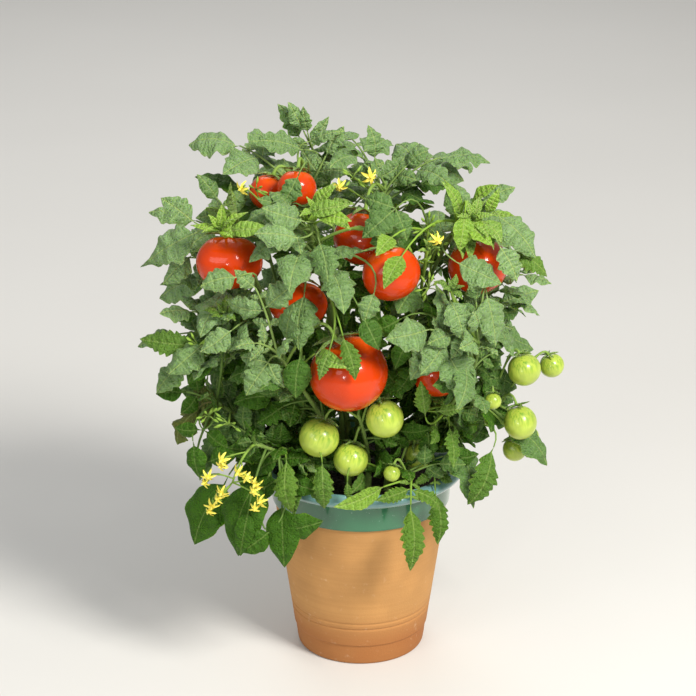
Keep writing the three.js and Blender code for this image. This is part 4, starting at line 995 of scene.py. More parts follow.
def add_tube(shell, points, radii, sides, tone, slot=STALK_SLOT):
    """Adds a round tube through the points, closed at both ends."""
    across = Vector((1, 0, 0))
    places = []
    last = len(points) - 1
    for i, point in enumerate(points):
        along = (points[min(i + 1, last)] - points[max(i - 1, 0)]).normalized()
        across = across - along * across.dot(along)
        if across.length < 1e-4:
            across = along.orthogonal()
        across.normalize()
        other = along.cross(across)
        for k in range(sides):
            turn = FULL_TURN * k / sides
            places.append(point + (across * math.cos(turn) + other * math.sin(turn)) * radii[i])
    faces = [tuple(reversed(range(sides))), tuple(range(last * sides, (last + 1) * sides))]
    for i in range(last):
        for k in range(sides):
            near, far = i * sides, (i + 1) * sides
            step = (k + 1) % sides
            faces.append((near + k, near + step, far + step, far + k))
    shell.add(places, faces, slot, tone)


def ball_faces(around, down):
    """The faces of a ball with a point at each pole."""
    last = 1 + (down - 1) * around
    faces = []
    for k in range(around):
        step = (k + 1) % around
        faces.append((0, 1 + k, 1 + step))
        faces.append((last, last - around + step, last - around + k))
        for i in range(down - 2):
            near, far = 1 + i * around, 1 + (i + 1) * around
            faces.append((near + k, far + k, far + step, near + step))
    return faces


def quadratic(first, middle, last, share):
    """A point on the curve from first to last that bends towards middle."""
    return first.lerp(middle, share).lerp(middle.lerp(last, share), share)


def cubic(a, b, c, d, share):
    """A point on the curve from a to d that bends towards b and then c."""
    return quadratic(a, b, c, share).lerp(quadratic(b, c, d, share), share)


def bent_line(first, middle, last, steps):
    """Points all along the curve from first to last that bends towards middle."""
    return [quadratic(first, middle, last, k / steps) for k in range(steps + 1)]


def squared(way, along):
    """A way, turned square to the way along."""
    return (way - along * way.dot(along)).normalized()


def carried_by(stem, rows):
    """The rows of a table that are about this stem, without its name."""
    return [row[1:] for row in rows if row[0] == stem]


# Stems and stalks

def stem_curve(ring, bearing, via, end):
    """The four points that shape a stem."""
    angle = math.radians(bearing)
    foot = Vector((ring * math.cos(angle), ring * math.sin(angle), STEM_FOOT_HEIGHT))
    bend = Vector(via)
    rise = foot + UP * (bend.z - foot.z) * 0.45
    return foot, rise, bend, Vector(end)


STEM_CURVES = {name: stem_curve(*shape) for name, *shape in STEMS}


def stem_point(name, share):
    """A point on a stem."""
    return cubic(*STEM_CURVES[name], share)


def add_stem(shell, name, rng):
    """Adds a stem's tube, with a few swollen knots, from its root in the soil to a closed tip."""
    points = [stem_point(name, 0)]
    points[0].z = ROOT_HEIGHT
    radii = [STEM_FOOT_RADIUS]
    for k in range(STEM_STEPS + 1):
        share = k / STEM_STEPS
        points.append(stem_point(name, share))
        swelling = 1 + (KNOT_SWELLING if rng.random() < KNOT_CHANCE else 0)
        radii.append((STEM_FOOT_RADIUS + (STEM_TIP_RADIUS - STEM_FOOT_RADIUS) * share) * swelling)
    points.append(points[-1] * 2 - points[-2].lerp(points[-1], 0.75))
    radii.append(STEM_END_RADIUS)
    add_tube(shell, points, radii, STEM_SIDES, STEM_TONE)


def fruit_axis(centre, start):
    """Which way a fruit's stalk end points."""
    lean = start - centre
    lean.z = 0
    if lean.length > 1:
        lean = lean.normalized() * 0.35
    return (lean + UP).normalized()


def add_stalk(shell, start, end, axis, thick, lead, tone):
    """Adds a fruit's or bloom's stalk, with a knuckle half-way and a flare where it ends."""
    points = bent_line(start, end + axis * lead, end, STALK_STEPS)
    points.append(end - axis * 0.5)
    radii = [thick * 0.85] * len(points)
    radii[STALK_STEPS // 2] = thick * 1.35
    radii[-3:] = [thick * 0.95, thick * 1.3, thick * 1.1]
    add_tube(shell, points, radii, 7, tone)


# Leaflets

class Form(NamedTuple):
    """A leaflet's shape. Widths, bends and its stalk are in leaflet lengths.

    It has this many veins on each side, with a lobe to each. Depth is that of the lobes, teeth that
    of the teeth on them, and sweep is how far they point forward. Curl rolls the margins under, wave
    ripples them, arch lifts the middle, bow lifts the tip, and quilt is its share of the bulging.
    """

    width: float
    veins: int = 4
    depth: float = 0
    teeth: float = 0
    curl: float = 0.3
    wave: float = 0.1
    stalk: float = 0
    arch: float = 0.1
    bow: float = 0
    quilt: float = 0
    sweep: float = 0


class Look(NamedTuple):
    """A kind of leaf: its leaflets' form, how young, shaded and dry it is, and its longest end leaflet.

    Where that is 0, the limit goes by the leaf's number of side pairs.
    """

    form: Form
    tone: tuple
    longest: float = 0


MATURE = Form(width=0.36, depth=0.22, teeth=0.05, curl=0.35, wave=0.2, stalk=0.08, quilt=1, sweep=0.28)
YOUNG = Form(width=0.2, veins=7, depth=0.08, curl=-0.1, stalk=0.05, quilt=0.8, sweep=0.5)
BROAD = Form(width=0.32, depth=0.1, teeth=0.03, curl=-0.1, wave=0.15, stalk=0.06, quilt=0.7, sweep=0.4)
SLENDER = Form(
    width=0.23, veins=7, depth=0.28, teeth=0.05, wave=0.2, stalk=0.08, arch=0.14, quilt=0.9, sweep=0.7,
)
SMOOTH = Form(
    width=0.31, depth=0.04, teeth=0.02, wave=0.14, stalk=0.14, arch=0.09, quilt=0.7, sweep=0.25,
)
AGEING = Form(
    width=0.3, depth=0.16, teeth=0.08, curl=0.9, wave=0.4, stalk=0.08, arch=0.16, quilt=0.8, sweep=0.6,
)
SEPAL = Form(width=0.13, veins=1, curl=-0.4, arch=0, bow=-0.2)
PETAL = Form(width=0.17, veins=1, curl=-0.5, bow=-0.3)
# Each tone is youth, shade and dryness. Its shade is painted shade, which mixes the blades towards the shaded
# colour.
LOOKS = {
    "mature": Look(MATURE, (0, 0, 0)),
    "mature_short": Look(MATURE, (0, 0, 0), 34),
    "mature_slim": Look(MATURE._replace(width=0.25, depth=0.3), (0, 0, 0)),
    "young": Look(YOUNG, (0.85, 0, 0)),
    "young_short": Look(YOUNG._replace(width=0.26), (0.85, 0.15, 0), 32),
    "young_broad": Look(BROAD, (0.8, 0, 0)),
    "slender": Look(SLENDER, (0.7, 0.5, 0), 42),
    "slender_short": Look(SLENDER, (0.7, 0.5, 0), 28),
    "dark": Look(SMOOTH, (0.05, 0.7, 0)),
    "dark_narrow": Look(SMOOTH._replace(width=0.18), (0, 0.7, 0)),
    "ageing": Look(AGEING, (0, 0.2, 0.8)),
}


class Grid:
    """How a leaflet's points lie: a heel, rows across it and a tip, with the lower face under them."""

    def __init__(self, rows, half):
        columns = 2 * half + 1
        inner = columns - 2
        tip = 1 + rows * columns
        shares = np.arange(rows) / rows
        across = np.sin(np.linspace(-1, 1, columns) * math.pi / 2) * MARGIN_CROWDING
        across += np.linspace(-1, 1, columns) * (1 - MARGIN_CROWDING)
        self.share = np.concatenate([[0], np.repeat(shares, columns), [1], np.repeat(shares, inner)])
        self.across = np.concatenate([[0], np.tile(across, rows), [0], np.tile(across[1:-1], rows)])
        self.under = np.zeros(len(self.share))
        self.under[tip + 1:] = 1

        def top(i, j):
            return 1 + i * columns + j

        def low(i, j):
            return top(i, j) if j in (0, columns - 1) else tip + 1 + i * inner + j - 1

        self.rim = np.zeros(len(self.share), bool)
        self.rim[[0, tip]] = True
        self.faces = []
        for i in range(rows):
            self.rim[[top(i, 0), top(i, columns - 1)]] = True
        for j in range(columns - 1):
            self.faces.append((0, top(0, j + 1), top(0, j)))
            self.faces.append((0, low(0, j), low(0, j + 1)))
            self.faces.append((tip, top(rows - 1, j), top(rows - 1, j + 1)))
            self.faces.append((tip, low(rows - 1, j + 1), low(rows - 1, j)))
            for i in range(rows - 1):
                self.faces.append((top(i, j), top(i, j + 1), top(i + 1, j + 1), top(i + 1, j)))
                self.faces.append((low(i, j), low(i + 1, j), low(i + 1, j + 1), low(i, j + 1)))


# The grids for each count of side veins, with the same number of rows to every vein
FINE_GRIDS = {4: Grid(36, 4), 7: Grid(35, 3), 1: Grid(6, 1)}
COARSE_GRIDS = {4: Grid(16, 2), 7: Grid(14, 2), 1: Grid(6, 1)}


class Blade:
    """The shape of one leaflet over its grid of points, in leaflet lengths."""

    def __init__(self, form, grid, length):
        share = grid.share
        self.form = form
        self.grid = grid
        self.length = length
        self.phase = form.veins * share
        self.half = self.half_width()
        self.out = grid.across * self.half
        self.reach = np.abs(grid.across)
        self.run = form.stalk + (1 - form.stalk) * share + form.sweep * np.abs(self.out) * (1 - share)

    def half_width(self):
        """Half the width at each point, with its lobes and teeth."""
        form, share = self.form, self.grid.share
        sinus = np.abs(np.cos(np.pi * self.phase)) ** LOBE_SHARPNESS
        tooth = (TEETH_TO_LOBE * self.phase) % 1
        lobes = (1 - form.depth * sinus * (1 - 0.5 * share)) * (1 - form.teeth * (1 - tooth))
        oval = share ** OVAL_RISE * (1 - share) ** OVAL_FALL / OVAL_PEAK
        return np.where(share < 1, np.maximum(form.width * oval * lobes, LEAST_HALF_WIDTH / self.length), 0)

    def rise(self, shift, twist, rng):
        """How far each point stands out of the leaflet's plane."""
        form, share = self.form, self.grid.share
        curl = form.curl * rng.uniform(*CURL_RANGE)
        rise = form.arch * rng.uniform(*ARCH_RANGE) * 4 * share * (1 - share) + form.bow * self.run ** 2
        rise = rise + BLADE_FOLD * np.abs(self.out) * (1 - share) - curl * self.half * self.reach ** 3
        waves = np.sin(2 * np.pi * (MARGIN_WAVES * share + shift))
        rise = rise + form.wave * self.half * self.reach ** 2 * waves
        rise = rise + twist * self.out * share
        panels = np.sin(np.pi * self.reach ** 0.8) * np.sin(np.pi * share) ** 0.5
        quilting = bpy.context.scene.tomato_leaf.quilting * form.quilt
        return rise + quilting * (0.5 + 0.5 * np.cos(2 * np.pi * self.phase)) * panels

    def thickness(self):
        """How far the lower face lies under the upper one, in millimetres. The midrib is thickest."""
        midrib = np.exp(-((self.out * self.length) ** 2))
        thick = BLADE_THICKNESS + RIB_THICKNESS * midrib * (1 - self.grid.share) ** 0.5
        return self.grid.under * thick

    def sides(self):
        """Each point's distance from a side vein and from the midrib, and whether it is underneath."""
        to_vein = np.abs(self.phase % 1 - 0.5) * self.length / self.form.veins * VEIN_SLANT
        return np.stack([to_vein, np.abs(self.out) * self.length, self.grid.under], axis=1)


class Batch(NamedTuple):
    """What the leaflets of one leaf have in common."""

    shell: Shell
    form: Form
    tone: tuple
    rng: random.Random
    fine: bool = True
    slot: int = BLADE_SLOT


def add_leaflet(batch, root, along, normal, length):
    """Adds one leaflet as a thin closed blade with lobes, raised panels between veins and a midrib."""
    shell, form, tone, rng, fine, slot = batch
    grid = (FINE_GRIDS if fine else COARSE_GRIDS)[form.veins]
    blade = Blade(form, grid, length)
    shift, twist, sway = rng.random(), rng.uniform(-TWIST, TWIST), rng.uniform(-SWAY, SWAY)
    aside = blade.out + sway * 4 * grid.share * (1 - grid.share)
    places = np.array(root) + np.outer(blade.run * length, along)
    places = places + np.outer(aside * length, along.cross(normal))
    places += np.outer(blade.rise(shift, twist, rng) * length - blade.thickness(), normal)
    places[0] = root - along * HEEL
    shell.add(places, grid.faces, slot, tone, blade.sides(), grid.rim)


# Leaves

class LeafLine:
    """The curved line of a leaf from its stem to its tip, with the way that it faces."""

    def __init__(self, base, tip, arch):
        self.base = base
        self.tip = tip
        self.middle = base.lerp(tip, 0.5) + UP * arch * (tip - base).length
        top = min(1, max(0, (tip.z - TOP_START) / (TOP_END - TOP_START)))
        self.facing = (tip - CROWN_MIDDLE).normalized() * 0.7 + UP * 0.5 + FRONT * (0.2 + top)

    def point(self, share):
        """The place at this share of the line."""
        return quadratic(self.base, self.middle, self.tip, share)

    def frame(self, share):
        """The place, and the ways along the line and out of the blade, at this share."""
        along = (self.middle - self.base).lerp(self.tip - self.middle, share).normalized()
        return self.point(share), along, squared(self.facing, along)


def crown_place(place):
    """Where a place is in the crown, from its middle, as shares of its reach."""
    off = place - CROWN_MIDDLE
    return Vector((off.x / CROWN_REACH.x, off.y / CROWN_REACH.y, off.z / CROWN_REACH.z))


def toned(look, tip, rng):
    """A tone for a leaf of this look. Leaves that are low or inside the crown get painted shade, as if the
    crown shaded them.
    """
    youth, shade, dry = LOOKS[look].tone
    spot = crown_place(tip)
    inside = max(0, INSIDE_START - (math.hypot(spot.x, spot.y) ** 4 + spot.z ** 4) ** 0.25)
    low = min(1, max(0, (LOW_TOP - tip.z) / (LOW_TOP - LOW_END)))
    # Painted shade, greater for low leaves and for those deep inside the crown
    shade += rng.uniform(0, 0.2) + (1 - youth) * max(LOW_SHADE * low, INSIDE_SHADE * inside)
    return youth * rng.uniform(0.7, 1.1), min(1, shade), dry


def leaf_stalk_tone(tone):
    """The tone of the stalk of a leaf that has this one, carrying half of the leaf's painted shade."""
    youth, shade, dry = tone
    return youth * 0.8, shade * 0.5, dry * 0.7


def add_side_leaflet(batch, line, share, hand, bearing, length):
    """Adds a leaflet to one side of a leaf's line."""
    root, ahead, facing = line.frame(share)
    turn = math.radians(bearing)
    along = ahead * math.cos(turn) + ahead.cross(facing) * (hand * math.sin(turn))
    droop = (along - facing * SIDE_DROOP).normalized()
    normal = (facing + along * SIDE_DROOP).normalized()
    add_leaflet(batch, root, droop, normal, length)


def add_small_leaflets(batch, line, inner, end_share, end_length):
    """Adds the small leaflets between a leaf's larger ones and below them."""
    between = inner + 0.5 * (end_share - inner)
    below = inner * 0.6
    for share, size in zip((between, below), SMALL_LENGTHS):
        for hand in (1, -1):
            length = end_length * size * batch.rng.uniform(0.8, 1.2)
            add_side_leaflet(batch._replace(fine=False), line, share, hand, SMALL_BEARING, length)


def add_leaf_stalk(batch, line, end_share):
    """Adds a leaf's stalk, from inside the stem to the end leaflet."""
    steps, sides = (8, 6) if batch.fine else (4, 4)
    points = [line.point(end_share * k / steps) for k in range(steps + 1)]
    points.insert(0, points[0] - (points[1] - points[0]).normalized() * 2)
    radii = [LEAF_STALK_RADIUS - LEAF_STALK_TAPER * k / (steps + 1) for k in range(steps + 2)]
    add_tube(batch.shell, points, radii, sides, leaf_stalk_tone(batch.tone))


def add_leaf(shell, base, tip, pairs, arch, look, rng, fine=True, extra_shade=0.0):
    """Adds a compound leaf: its stalk, an end leaflet, side pairs and the small leaflets between."""
    line = LeafLine(base, tip, arch)
    form, _, longest = LOOKS[look]
    width = form.width * rng.uniform(*WIDTH_RANGE)
    depth = form.depth * rng.uniform(*DEPTH_RANGE)
    youth, shade, dry = toned(look, tip, rng)
    tone = (youth, min(1, shade + extra_shade), dry)
    batch = Batch(shell, form._replace(width=width, depth=depth), tone, rng, fine)
    reach = (tip - base).length
    end_length = min(END_SHARE[pairs] * reach, longest or END_LENGTH_LIMIT[pairs])
    end_share = 1 - end_length / reach
    pair_shares = [end_share - (PAIR_START + PAIR_STEP * k) * end_length / reach for k in range(pairs)]
    add_leaf_stalk(batch, line, end_share)
    for k, share in enumerate(pair_shares):
        for hand in (1, -1):
            slip = share + rng.uniform(-PAIR_SLIP, PAIR_SLIP)
            add_side_leaflet(batch, line, slip, hand, SIDE_BEARINGS[k], end_length * SIDE_LENGTHS[k])
    if pairs and fine and look != "dark":
        add_small_leaflets(batch, line, pair_shares[-1], end_share, end_length)
    root = line.point(end_share)
    along = (tip - root).normalized()
    add_leaflet(batch, root, along, squared(line.facing, along), (tip - root).length)


def bends():
    """Every small turn and shrinking that a leaf may have been given to keep it clear."""
    for scale in BEND_SCALES:
        for angle in BEND_ANGLES:
            for k in range(BEND_WAYS if angle else 1):
                turn = FULL_TURN * k / BEND_WAYS
                yield math.radians(angle * math.cos(turn)), math.radians(angle * math.sin(turn)), scale


def bent_tip(base, tip, yaw, pitch, scale):
    """Where a leaf's tip goes when the leaf is turned and shrunk about its base."""
    reach = Quaternion(UP, yaw) @ (tip - base)
    level = Vector((reach.y, -reach.x, 0)).normalized()
    return base + (Quaternion(level, pitch) @ reach) * scale


def node_points(name):
    """A search tree of a solid's points, in millimetres."""
    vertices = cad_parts[name].data.vertices
    tree = kdtree.KDTree(len(vertices))
    for i, vertex in enumerate(vertices):
        tree.insert(vertex.co / MM, i)
    tree.balance()
    return tree


def settled_tip(solid, base, tip):
    """The bent tip that lies on a point of the solid, which is where the leaf really ends."""
    tips = [bent_tip(base, tip, *bend) for bend in bends()]
    return min(tips, key=lambda place: solid.find(place)[2])


def ruled_leaves():
    """The leaves placed by rule, in the rows that the leaf list has."""
    places = [(name, k / PLACES_ON_STEM) for name in STEM_CURVES for k in range(2, PLACES_ON_STEM)]
    for count, start, sweep, lowest, highest, scale, length, arch, look in RULED_LEAVES:
        for i in range(count):
            rise = lowest + (highest - lowest) * (i + 0.5) / count
            bearing = math.radians(start + sweep * ((i * GOLDEN) % 1))
            level = math.sqrt(1 - rise ** 4) * scale
            spot = Vector((level * math.cos(bearing), level * math.sin(bearing), rise * scale))
            tip = CROWN_MIDDLE + CROWN_REACH * spot
            heart = Vector((CROWN_MIDDLE.x, CROWN_MIDDLE.y, tip.z + BASE_RISE))
            ideal = tip + (heart - tip).normalized() * length
            name, share = min(places, key=lambda place: (stem_point(*place) - ideal).length)
            yield name, share, tip, 1, arch, look


def add_hung_leaflets(shell, name, rng):
    """Adds the single leaflets of a stem, each on its own thin stalk."""
    for share, root, tip, sides, look in carried_by(name, HUNG_LEAFLETS):
        start, root, tip = stem_point(name, share), Vector(root), Vector(tip)
        line = LeafLine(root, tip, 0)
        line.facing += FRONT * 0.6
        length = (tip - root).length
        along = (tip - root).normalized()
        batch = Batch(shell, LOOKS[look].form, toned(look, tip, rng), rng)
        bend = root - along * (root - start).length * 0.4 + UP * 4
        stalk = bent_line(start, bend, root, 8)
        radii = [HUNG_STALK_RADIUS - STALK_THINNING * k for k in range(len(stalk))]
        add_tube(shell, stalk, radii, 6, leaf_stalk_tone(batch.tone))
        add_leaflet(batch, root, along, squared(line.facing, along), length)
        if sides:
            for hand in (1, -1):
                add_side_leaflet(batch, line, 0, hand, SIDE_BEARINGS[0], length * HUNG_SIDE_LENGTH)


def add_shoots(shell, name, rng):
    """Adds the growing tips of a stem. Their inner leaves are short and upright."""
    for share, heart, count, length, look in carried_by(name, SHOOTS):
        start, heart = stem_point(name, share), Vector(heart)
        outward = Vector((heart.x - CROWN_MIDDLE.x, heart.y, 0)).normalized()
        axis = (UP + outward * 0.3 + FRONT * 0.3).normalized()
        batch = Batch(shell, LOOKS[look].form, toned(look, heart, rng), rng)
        stalk = bent_line(start, heart - axis * 14, heart, 6)
        add_tube(shell, stalk, [SHOOT_STALK_RADIUS] * len(stalk), 7, (batch.tone[0] * 0.8, 0, 0))
        for k in range(count):
            age = (k + 0.5) / count
            lean = 0.35 + 1.15 * age
            side = Quaternion(axis, FULL_TURN * GOLDEN * k) @ axis.orthogonal().normalized()
            along = (axis * math.cos(lean) + side * math.sin(lean)).normalized()
            add_leaflet(batch, heart, along, squared(axis, along), length * (0.5 + 0.6 * age))


# Inner leaves, which fill the crown behind the ones that show

def hides_or_hits_fruit(place):
    """Whether a place is in a fruit or between one and the camera."""
    sight = (place - CAMERA).normalized()
    for centre, radius in FRUIT:
        if (place - centre).length < radius + FRUIT_ROOM:
            return True
        ahead = (centre - CAMERA).dot(sight)
        miss = (CAMERA + sight * ahead - centre).length
        if miss < radius + SIGHT_ROOM and (place - CAMERA).length < ahead:
            return True
    return False


def inside_crown(place):
    """Whether a place is well inside the crown and above the pot."""
    spot = crown_place(place)
    level = math.hypot(spot.x, spot.y)
    widest = math.sqrt(max(0, 1 - min(1, abs(spot.z)) ** 4))
    return level < CROWN_ROOM * widest and place.z > FILLER_LOWEST


def filler_tip(base, rng):
    """A tip for a small inner leaf, or nothing where there is no room for one."""
    outward = Vector((base.x - CROWN_MIDDLE.x, base.y, 0))
    bearing = math.atan2(outward.y, outward.x)
    for k in range(FILLER_TRIES):
        turn = bearing + rng.uniform(-FILLER_TURN, FILLER_TURN)
        way = Vector((math.cos(turn), math.sin(turn), rng.uniform(*FILLER_RISE))).normalized()
        length = rng.uniform(*FILLER_LENGTHS) * (1 - 0.5 * k / FILLER_TRIES)
        tip = base + way * length
        side = way.cross(UP).normalized() * length * FILLER_SPREAD
        middle = base.lerp(tip, 0.5)
        spots = [tip, base.lerp(tip, 0.6), middle + side, middle - side]
        if all(inside_crown(spot) and not hides_or_hits_fruit(spot) for spot in spots):
            return tip
    return None


def add_fillers(shell, name, count, rng):
    """Adds the small inner leaves of a stem."""
    for k in range(count):
        base = stem_point(name, 0.12 + 0.86 * (k + rng.random()) / count)
        tip = filler_tip(base, rng)
        if tip is not None:
            arch = rng.uniform(*FILLER_ARCH)
            # Inner leaves get extra painted shade
            add_leaf(shell, base, tip, 1, arch, "mature", rng, False, rng.uniform(*FILLER_SHADE))


# Fruit, calyxes, buds and blooms

def fruit_places(centre, axis, radius, tall, ribs, around, down):
    """The points of a fruit's skin and what they store: the way round and the height."""
    polar = np.repeat(np.arange(1, down) * math.pi / down, around)
    turn = np.tile(np.arange(around) * FULL_TURN / around, down - 1)
    polar = np.concatenate([[0], polar, [math.pi]])
    turn = np.concatenate([[0], turn, [0]])
    belly, height = np.sin(polar), np.cos(polar)
    shoulder = 0.5 + 0.5 * height
    lumps = 0.008 * np.sin(2 * turn + radius) + 0.005 * np.sin(3 * turn + 2 * radius)
    rib = FRUIT_FILL + belly * (ribs * shoulder * np.cos(RIBS * turn) + lumps * 0.6)
    dimple = np.where(height > 0, DIMPLE_DEPTH * np.exp(-((belly / DIMPLE_WIDTH) ** 2)), 0)
    scar = np.where(height < 0, SCAR_DEPTH * np.exp(-((belly / SCAR_WIDTH) ** 2)), 0)
    rise = height * tall - dimple + scar
    places = np.stack([belly * rib * np.cos(turn), belly * rib * np.sin(turn), rise], 1)
    turned = np.array(UP.rotation_difference(axis).to_matrix())
    skin = np.stack([np.cos(turn) * belly, np.sin(turn) * belly, height], 1)
    return places @ turned.T * radius + np.array(centre), skin


def make_fruit(row, finish, slot):
    """Makes one tomato in place of its solid."""
    name, stem, share, middle, radius, tall, ribs = row
    centre = Vector(middle)
    axis = fruit_axis(centre, stem_point(stem, share))
    around, down = LARGE_FRUIT_GRID if radius > SMALL_FRUIT else SMALL_FRUIT_GRID
    places, skin = fruit_places(centre, axis, radius, tall, ribs, around, down)
    mesh = smooth_mesh(name, (places * MM).tolist(), ball_faces(around, down))
    store(mesh, "skin", skin)
    mesh.materials.append(finish)
    settle(link("ripened_" + name, mesh), slot, name)


def add_calyx(shell, middle, axis, radius, tone, rng):
    """Adds five pointed sepals that lie over a fruit's shoulders and lift at their tips."""
    side = axis.orthogonal()
    first = rng.uniform(0, FULL_TURN)
    for k in range(SEPALS):
        turn = Quaternion(axis, first + FULL_TURN * k / SEPALS + rng.uniform(-0.15, 0.15))
        along = (turn @ side).normalized()
        sepal = SEPAL._replace(bow=rng.uniform(-0.32, 0.1))
        add_leaflet(Batch(shell, sepal, tone, rng), middle, along, axis, radius * 0.75 + 1.5)


def add_fruit_stalks(shell, name, rng):
    """Adds the stalks and calyxes of the fruit that a stem carries."""
    for kind, rows in (("red", RED_TOMATOES), ("green", GREEN_TOMATOES)):
        for fruit, stem, share, middle, radius, tall, _ in rows:
            if stem != name:
                continue
            centre, start = Vector(middle), stem_point(stem, share)
            axis = fruit_axis(centre, start)
            seat = centre + axis * (radius * tall + CALYX_GAP)
            tone = DRY_STALK_TONE if fruit == DRY_CALYX_FRUIT else FRUIT_STALK_TONE
            lead = radius * 0.7 + STALK_LEAD[kind]
            add_stalk(shell, start, seat, axis, STALK_RADIUS[kind], lead, tone)
            add_calyx(shell, seat, axis, radius, tone, rng)


def bloom_axis(centre):
    """Which way a bloom faces."""
    outward = centre - CROWN_MIDDLE
    outward.z = 0
    return (outward.normalized() + FRONT * 0.5 - UP * 0.1).normalized()


def add_bloom_stalks(shell, name):
    """Adds the stalks of the blooms that a stem carries. Those of the spray leave one bent truss."""
    if name == SPRAY_STEM:
        truss = bent_line(stem_point(name, 1), SPRAY_BEND, SPRAY_END, 8)
        radii = [TRUSS_RADIUS - STALK_THINNING * k for k in range(len(truss))]
        add_tube(shell, truss, radii, 8, BLOOM_STALK_TONE)
    for _, stem, share, middle, _ in BLOOMS:
        if stem != name:
            continue
        centre, start = Vector(middle), stem_point(stem, share)
        axis = bloom_axis(centre)
        if stem == SPRAY_STEM:
            drop = min(1, (SPRAY_TOP - centre.z) / SPRAY_DROP)
            start = quadratic(stem_point(name, 1), SPRAY_BEND, SPRAY_END, drop)
        end = centre - axis * 2.2
        add_stalk(shell, start, end, -axis, BLOOM_STALK_RADIUS, 9, BLOOM_STALK_TONE)


def add_buds(shell, name, rng):
    """Adds clusters of closed, pointed buds on fine stalks."""
    for share, middle, count, spread in carried_by(name, BUDS):
        heart, start = Vector(middle), stem_point(name, share)
        stalk = bent_line(start, start.lerp(heart, 0.5) + UP * 8, heart, 6)
        add_tube(shell, stalk, [BUD_STALK_RADIUS] * len(stalk), 6, BUD_TONE)
        for _ in range(count):
            way = Vector((rng.uniform(-1, 1), rng.uniform(-1.2, 0.4), rng.uniform(-0.5, 1))).normalized()
            end = heart + way * spread * rng.uniform(0.6, 1.1)
            add_tube(shell, [heart, heart.lerp(end, 0.6) + UP, end], [0.5, 0.45, 0.5], 4, BUD_STALK_TONE)
            bud = [end + way * step for step, _ in BUD_PROFILE]
            add_tube(shell, bud, [radius for _, radius in BUD_PROFILE], 6, BUD_TONE)


def add_bloom(shell, centre, axis, radius, dry, rng):
    """Adds one flower: reflexed petals, a cone of stamens and green sepals behind."""
    side = axis.orthogonal().normalized()
    first = rng.uniform(0, FULL_TURN)
    petals = Batch(shell, PETAL, (0, 0, dry), rng)
    sepals = Batch(shell, SEPAL, BUD_TONE, rng, slot=STALK_SLOT)
    for batch, count, back, size in ((petals, PETALS, 0, 1.05), (sepals, SEPALS, -1, 0.72)):
        for k in range(count):
            turn = Quaternion(axis, first + back * 0.5 + FULL_TURN * k / count)
            along = ((turn @ side) + axis * rng.uniform(-0.5, 0.2)).normalized()
            add_leaflet(batch, centre + axis * back, along, squared(axis, along), radius * size)
    cone = [centre + axis * step for step, _ in CONE_PROFILE]
    add_tube(shell, cone, [width for _, width in CONE_PROFILE], 8, CONE_TONE, BLADE_SLOT)


def make_bloom(row, materials, rng):
    """Makes one bloom in place of its solid. Those of the spray nod, and each has a smaller twin."""
    name, stem, _, middle, radius = row
    centre = Vector(middle)
    axis = bloom_axis(centre)
    shell = Shell()
    dry = 0.75 if name == DRY_BLOOM else rng.uniform(0, 0.1)
    if stem == SPRAY_STEM:
        nod = Vector((rng.uniform(-0.6, 0.6), rng.uniform(-0.2, 0.2), rng.uniform(-0.8, 0.1)))
        twin = centre + Vector((rng.uniform(-8, 8), rng.uniform(0, 5), -7))
        neck = centre - axis * 2
        add_tube(shell, [neck, neck.lerp(twin, 0.5) + UP * 2, twin], [0.6] * 3, 6, BUD_TONE)
        add_bloom(shell, twin, (axis - nod * 0.6).normalized(), radius * 0.8, dry, rng)
        axis = (axis + nod).normalized()
    add_bloom(shell, centre, axis, radius, dry, rng)
    settle(shell.build("open_" + name, materials), "petal", name)


# The pot and its soil

def rounded(points, steps=5):
    """Points on a smooth curve through the given ones."""
    knots = [Vector((*point, 0)) for point in points]
    curve = []
    for i in range(len(knots) - 1):
        before, after = knots[max(i - 1, 0)], knots[min(i + 2, len(knots) - 1)]
        a, b = knots[i], knots[i + 1]
        for k in range(steps):
            curve.append(cubic(a, a + (b - before) / 6, b - (after - a) / 6, b, k / steps)[:2])
    return curve + [points[-1]]


def outer_wall():
    """The pot's tapered wall, with fine grooves turned in it near the foot."""
    radii, heights = zip(*POT_WALL)
    close = np.arange(heights[0], CLOSE_RINGS_TOP, CLOSE_RING_STEP)
    rings = np.concatenate([close, np.arange(CLOSE_RINGS_TOP, heights[-1], WIDE_RING_STEP)])
    turned = np.interp(rings, heights, radii)
    for height, depth, width in GROOVES:
        turned -= depth * np.exp(-(((rings - height) / width) ** 2))
    return list(zip(turned.tolist(), rings.tolist()))


def spun(name, profile, sides):
    """A mesh made by spinning a profile that starts and ends on the axis, from the bottom up."""
    rings = profile[1:-1]
    places = [(0, 0, profile[0][1] * MM)]
    for radius, height in rings:
        for k in range(sides):
            turn = FULL_TURN * k / sides
            places.append((radius * MM * math.cos(turn), radius * MM * math.sin(turn), height * MM))
    places.append((0, 0, profile[-1][1] * MM))
    turned_over = [(first, *reversed(others)) for first, *others in ball_faces(sides, len(rings) + 1)]
    return smooth_mesh(name, places, turned_over)


def frozen(piece, name):
    """The piece as its modifiers leave it, as a plain new mesh in place of the old one."""
    shaped = piece.evaluated_get(bpy.context.evaluated_depsgraph_get())
    mesh = bpy.data.meshes.new_from_object(shaped)
    mesh.name = name
    bpy.data.objects.remove(piece)
    return mesh


def drain_drills():
    """Cylinders where the drain holes are cut."""
    drills = []
    for k in range(DRAIN_COUNT):
        turn = math.radians(DRAIN_BEARING + 360 * k / DRAIN_COUNT)
        bpy.ops.mesh.primitive_cylinder_add(
            vertices=DRAIN_SIDES, radius=DRAIN_RADIUS * MM, depth=DRILL_LENGTH * MM,
            location=(DRAIN_RING * MM * math.cos(turn), DRAIN_RING * MM * math.sin(turn), 0),
        )
        drills.append(bpy.context.object)
    return drills


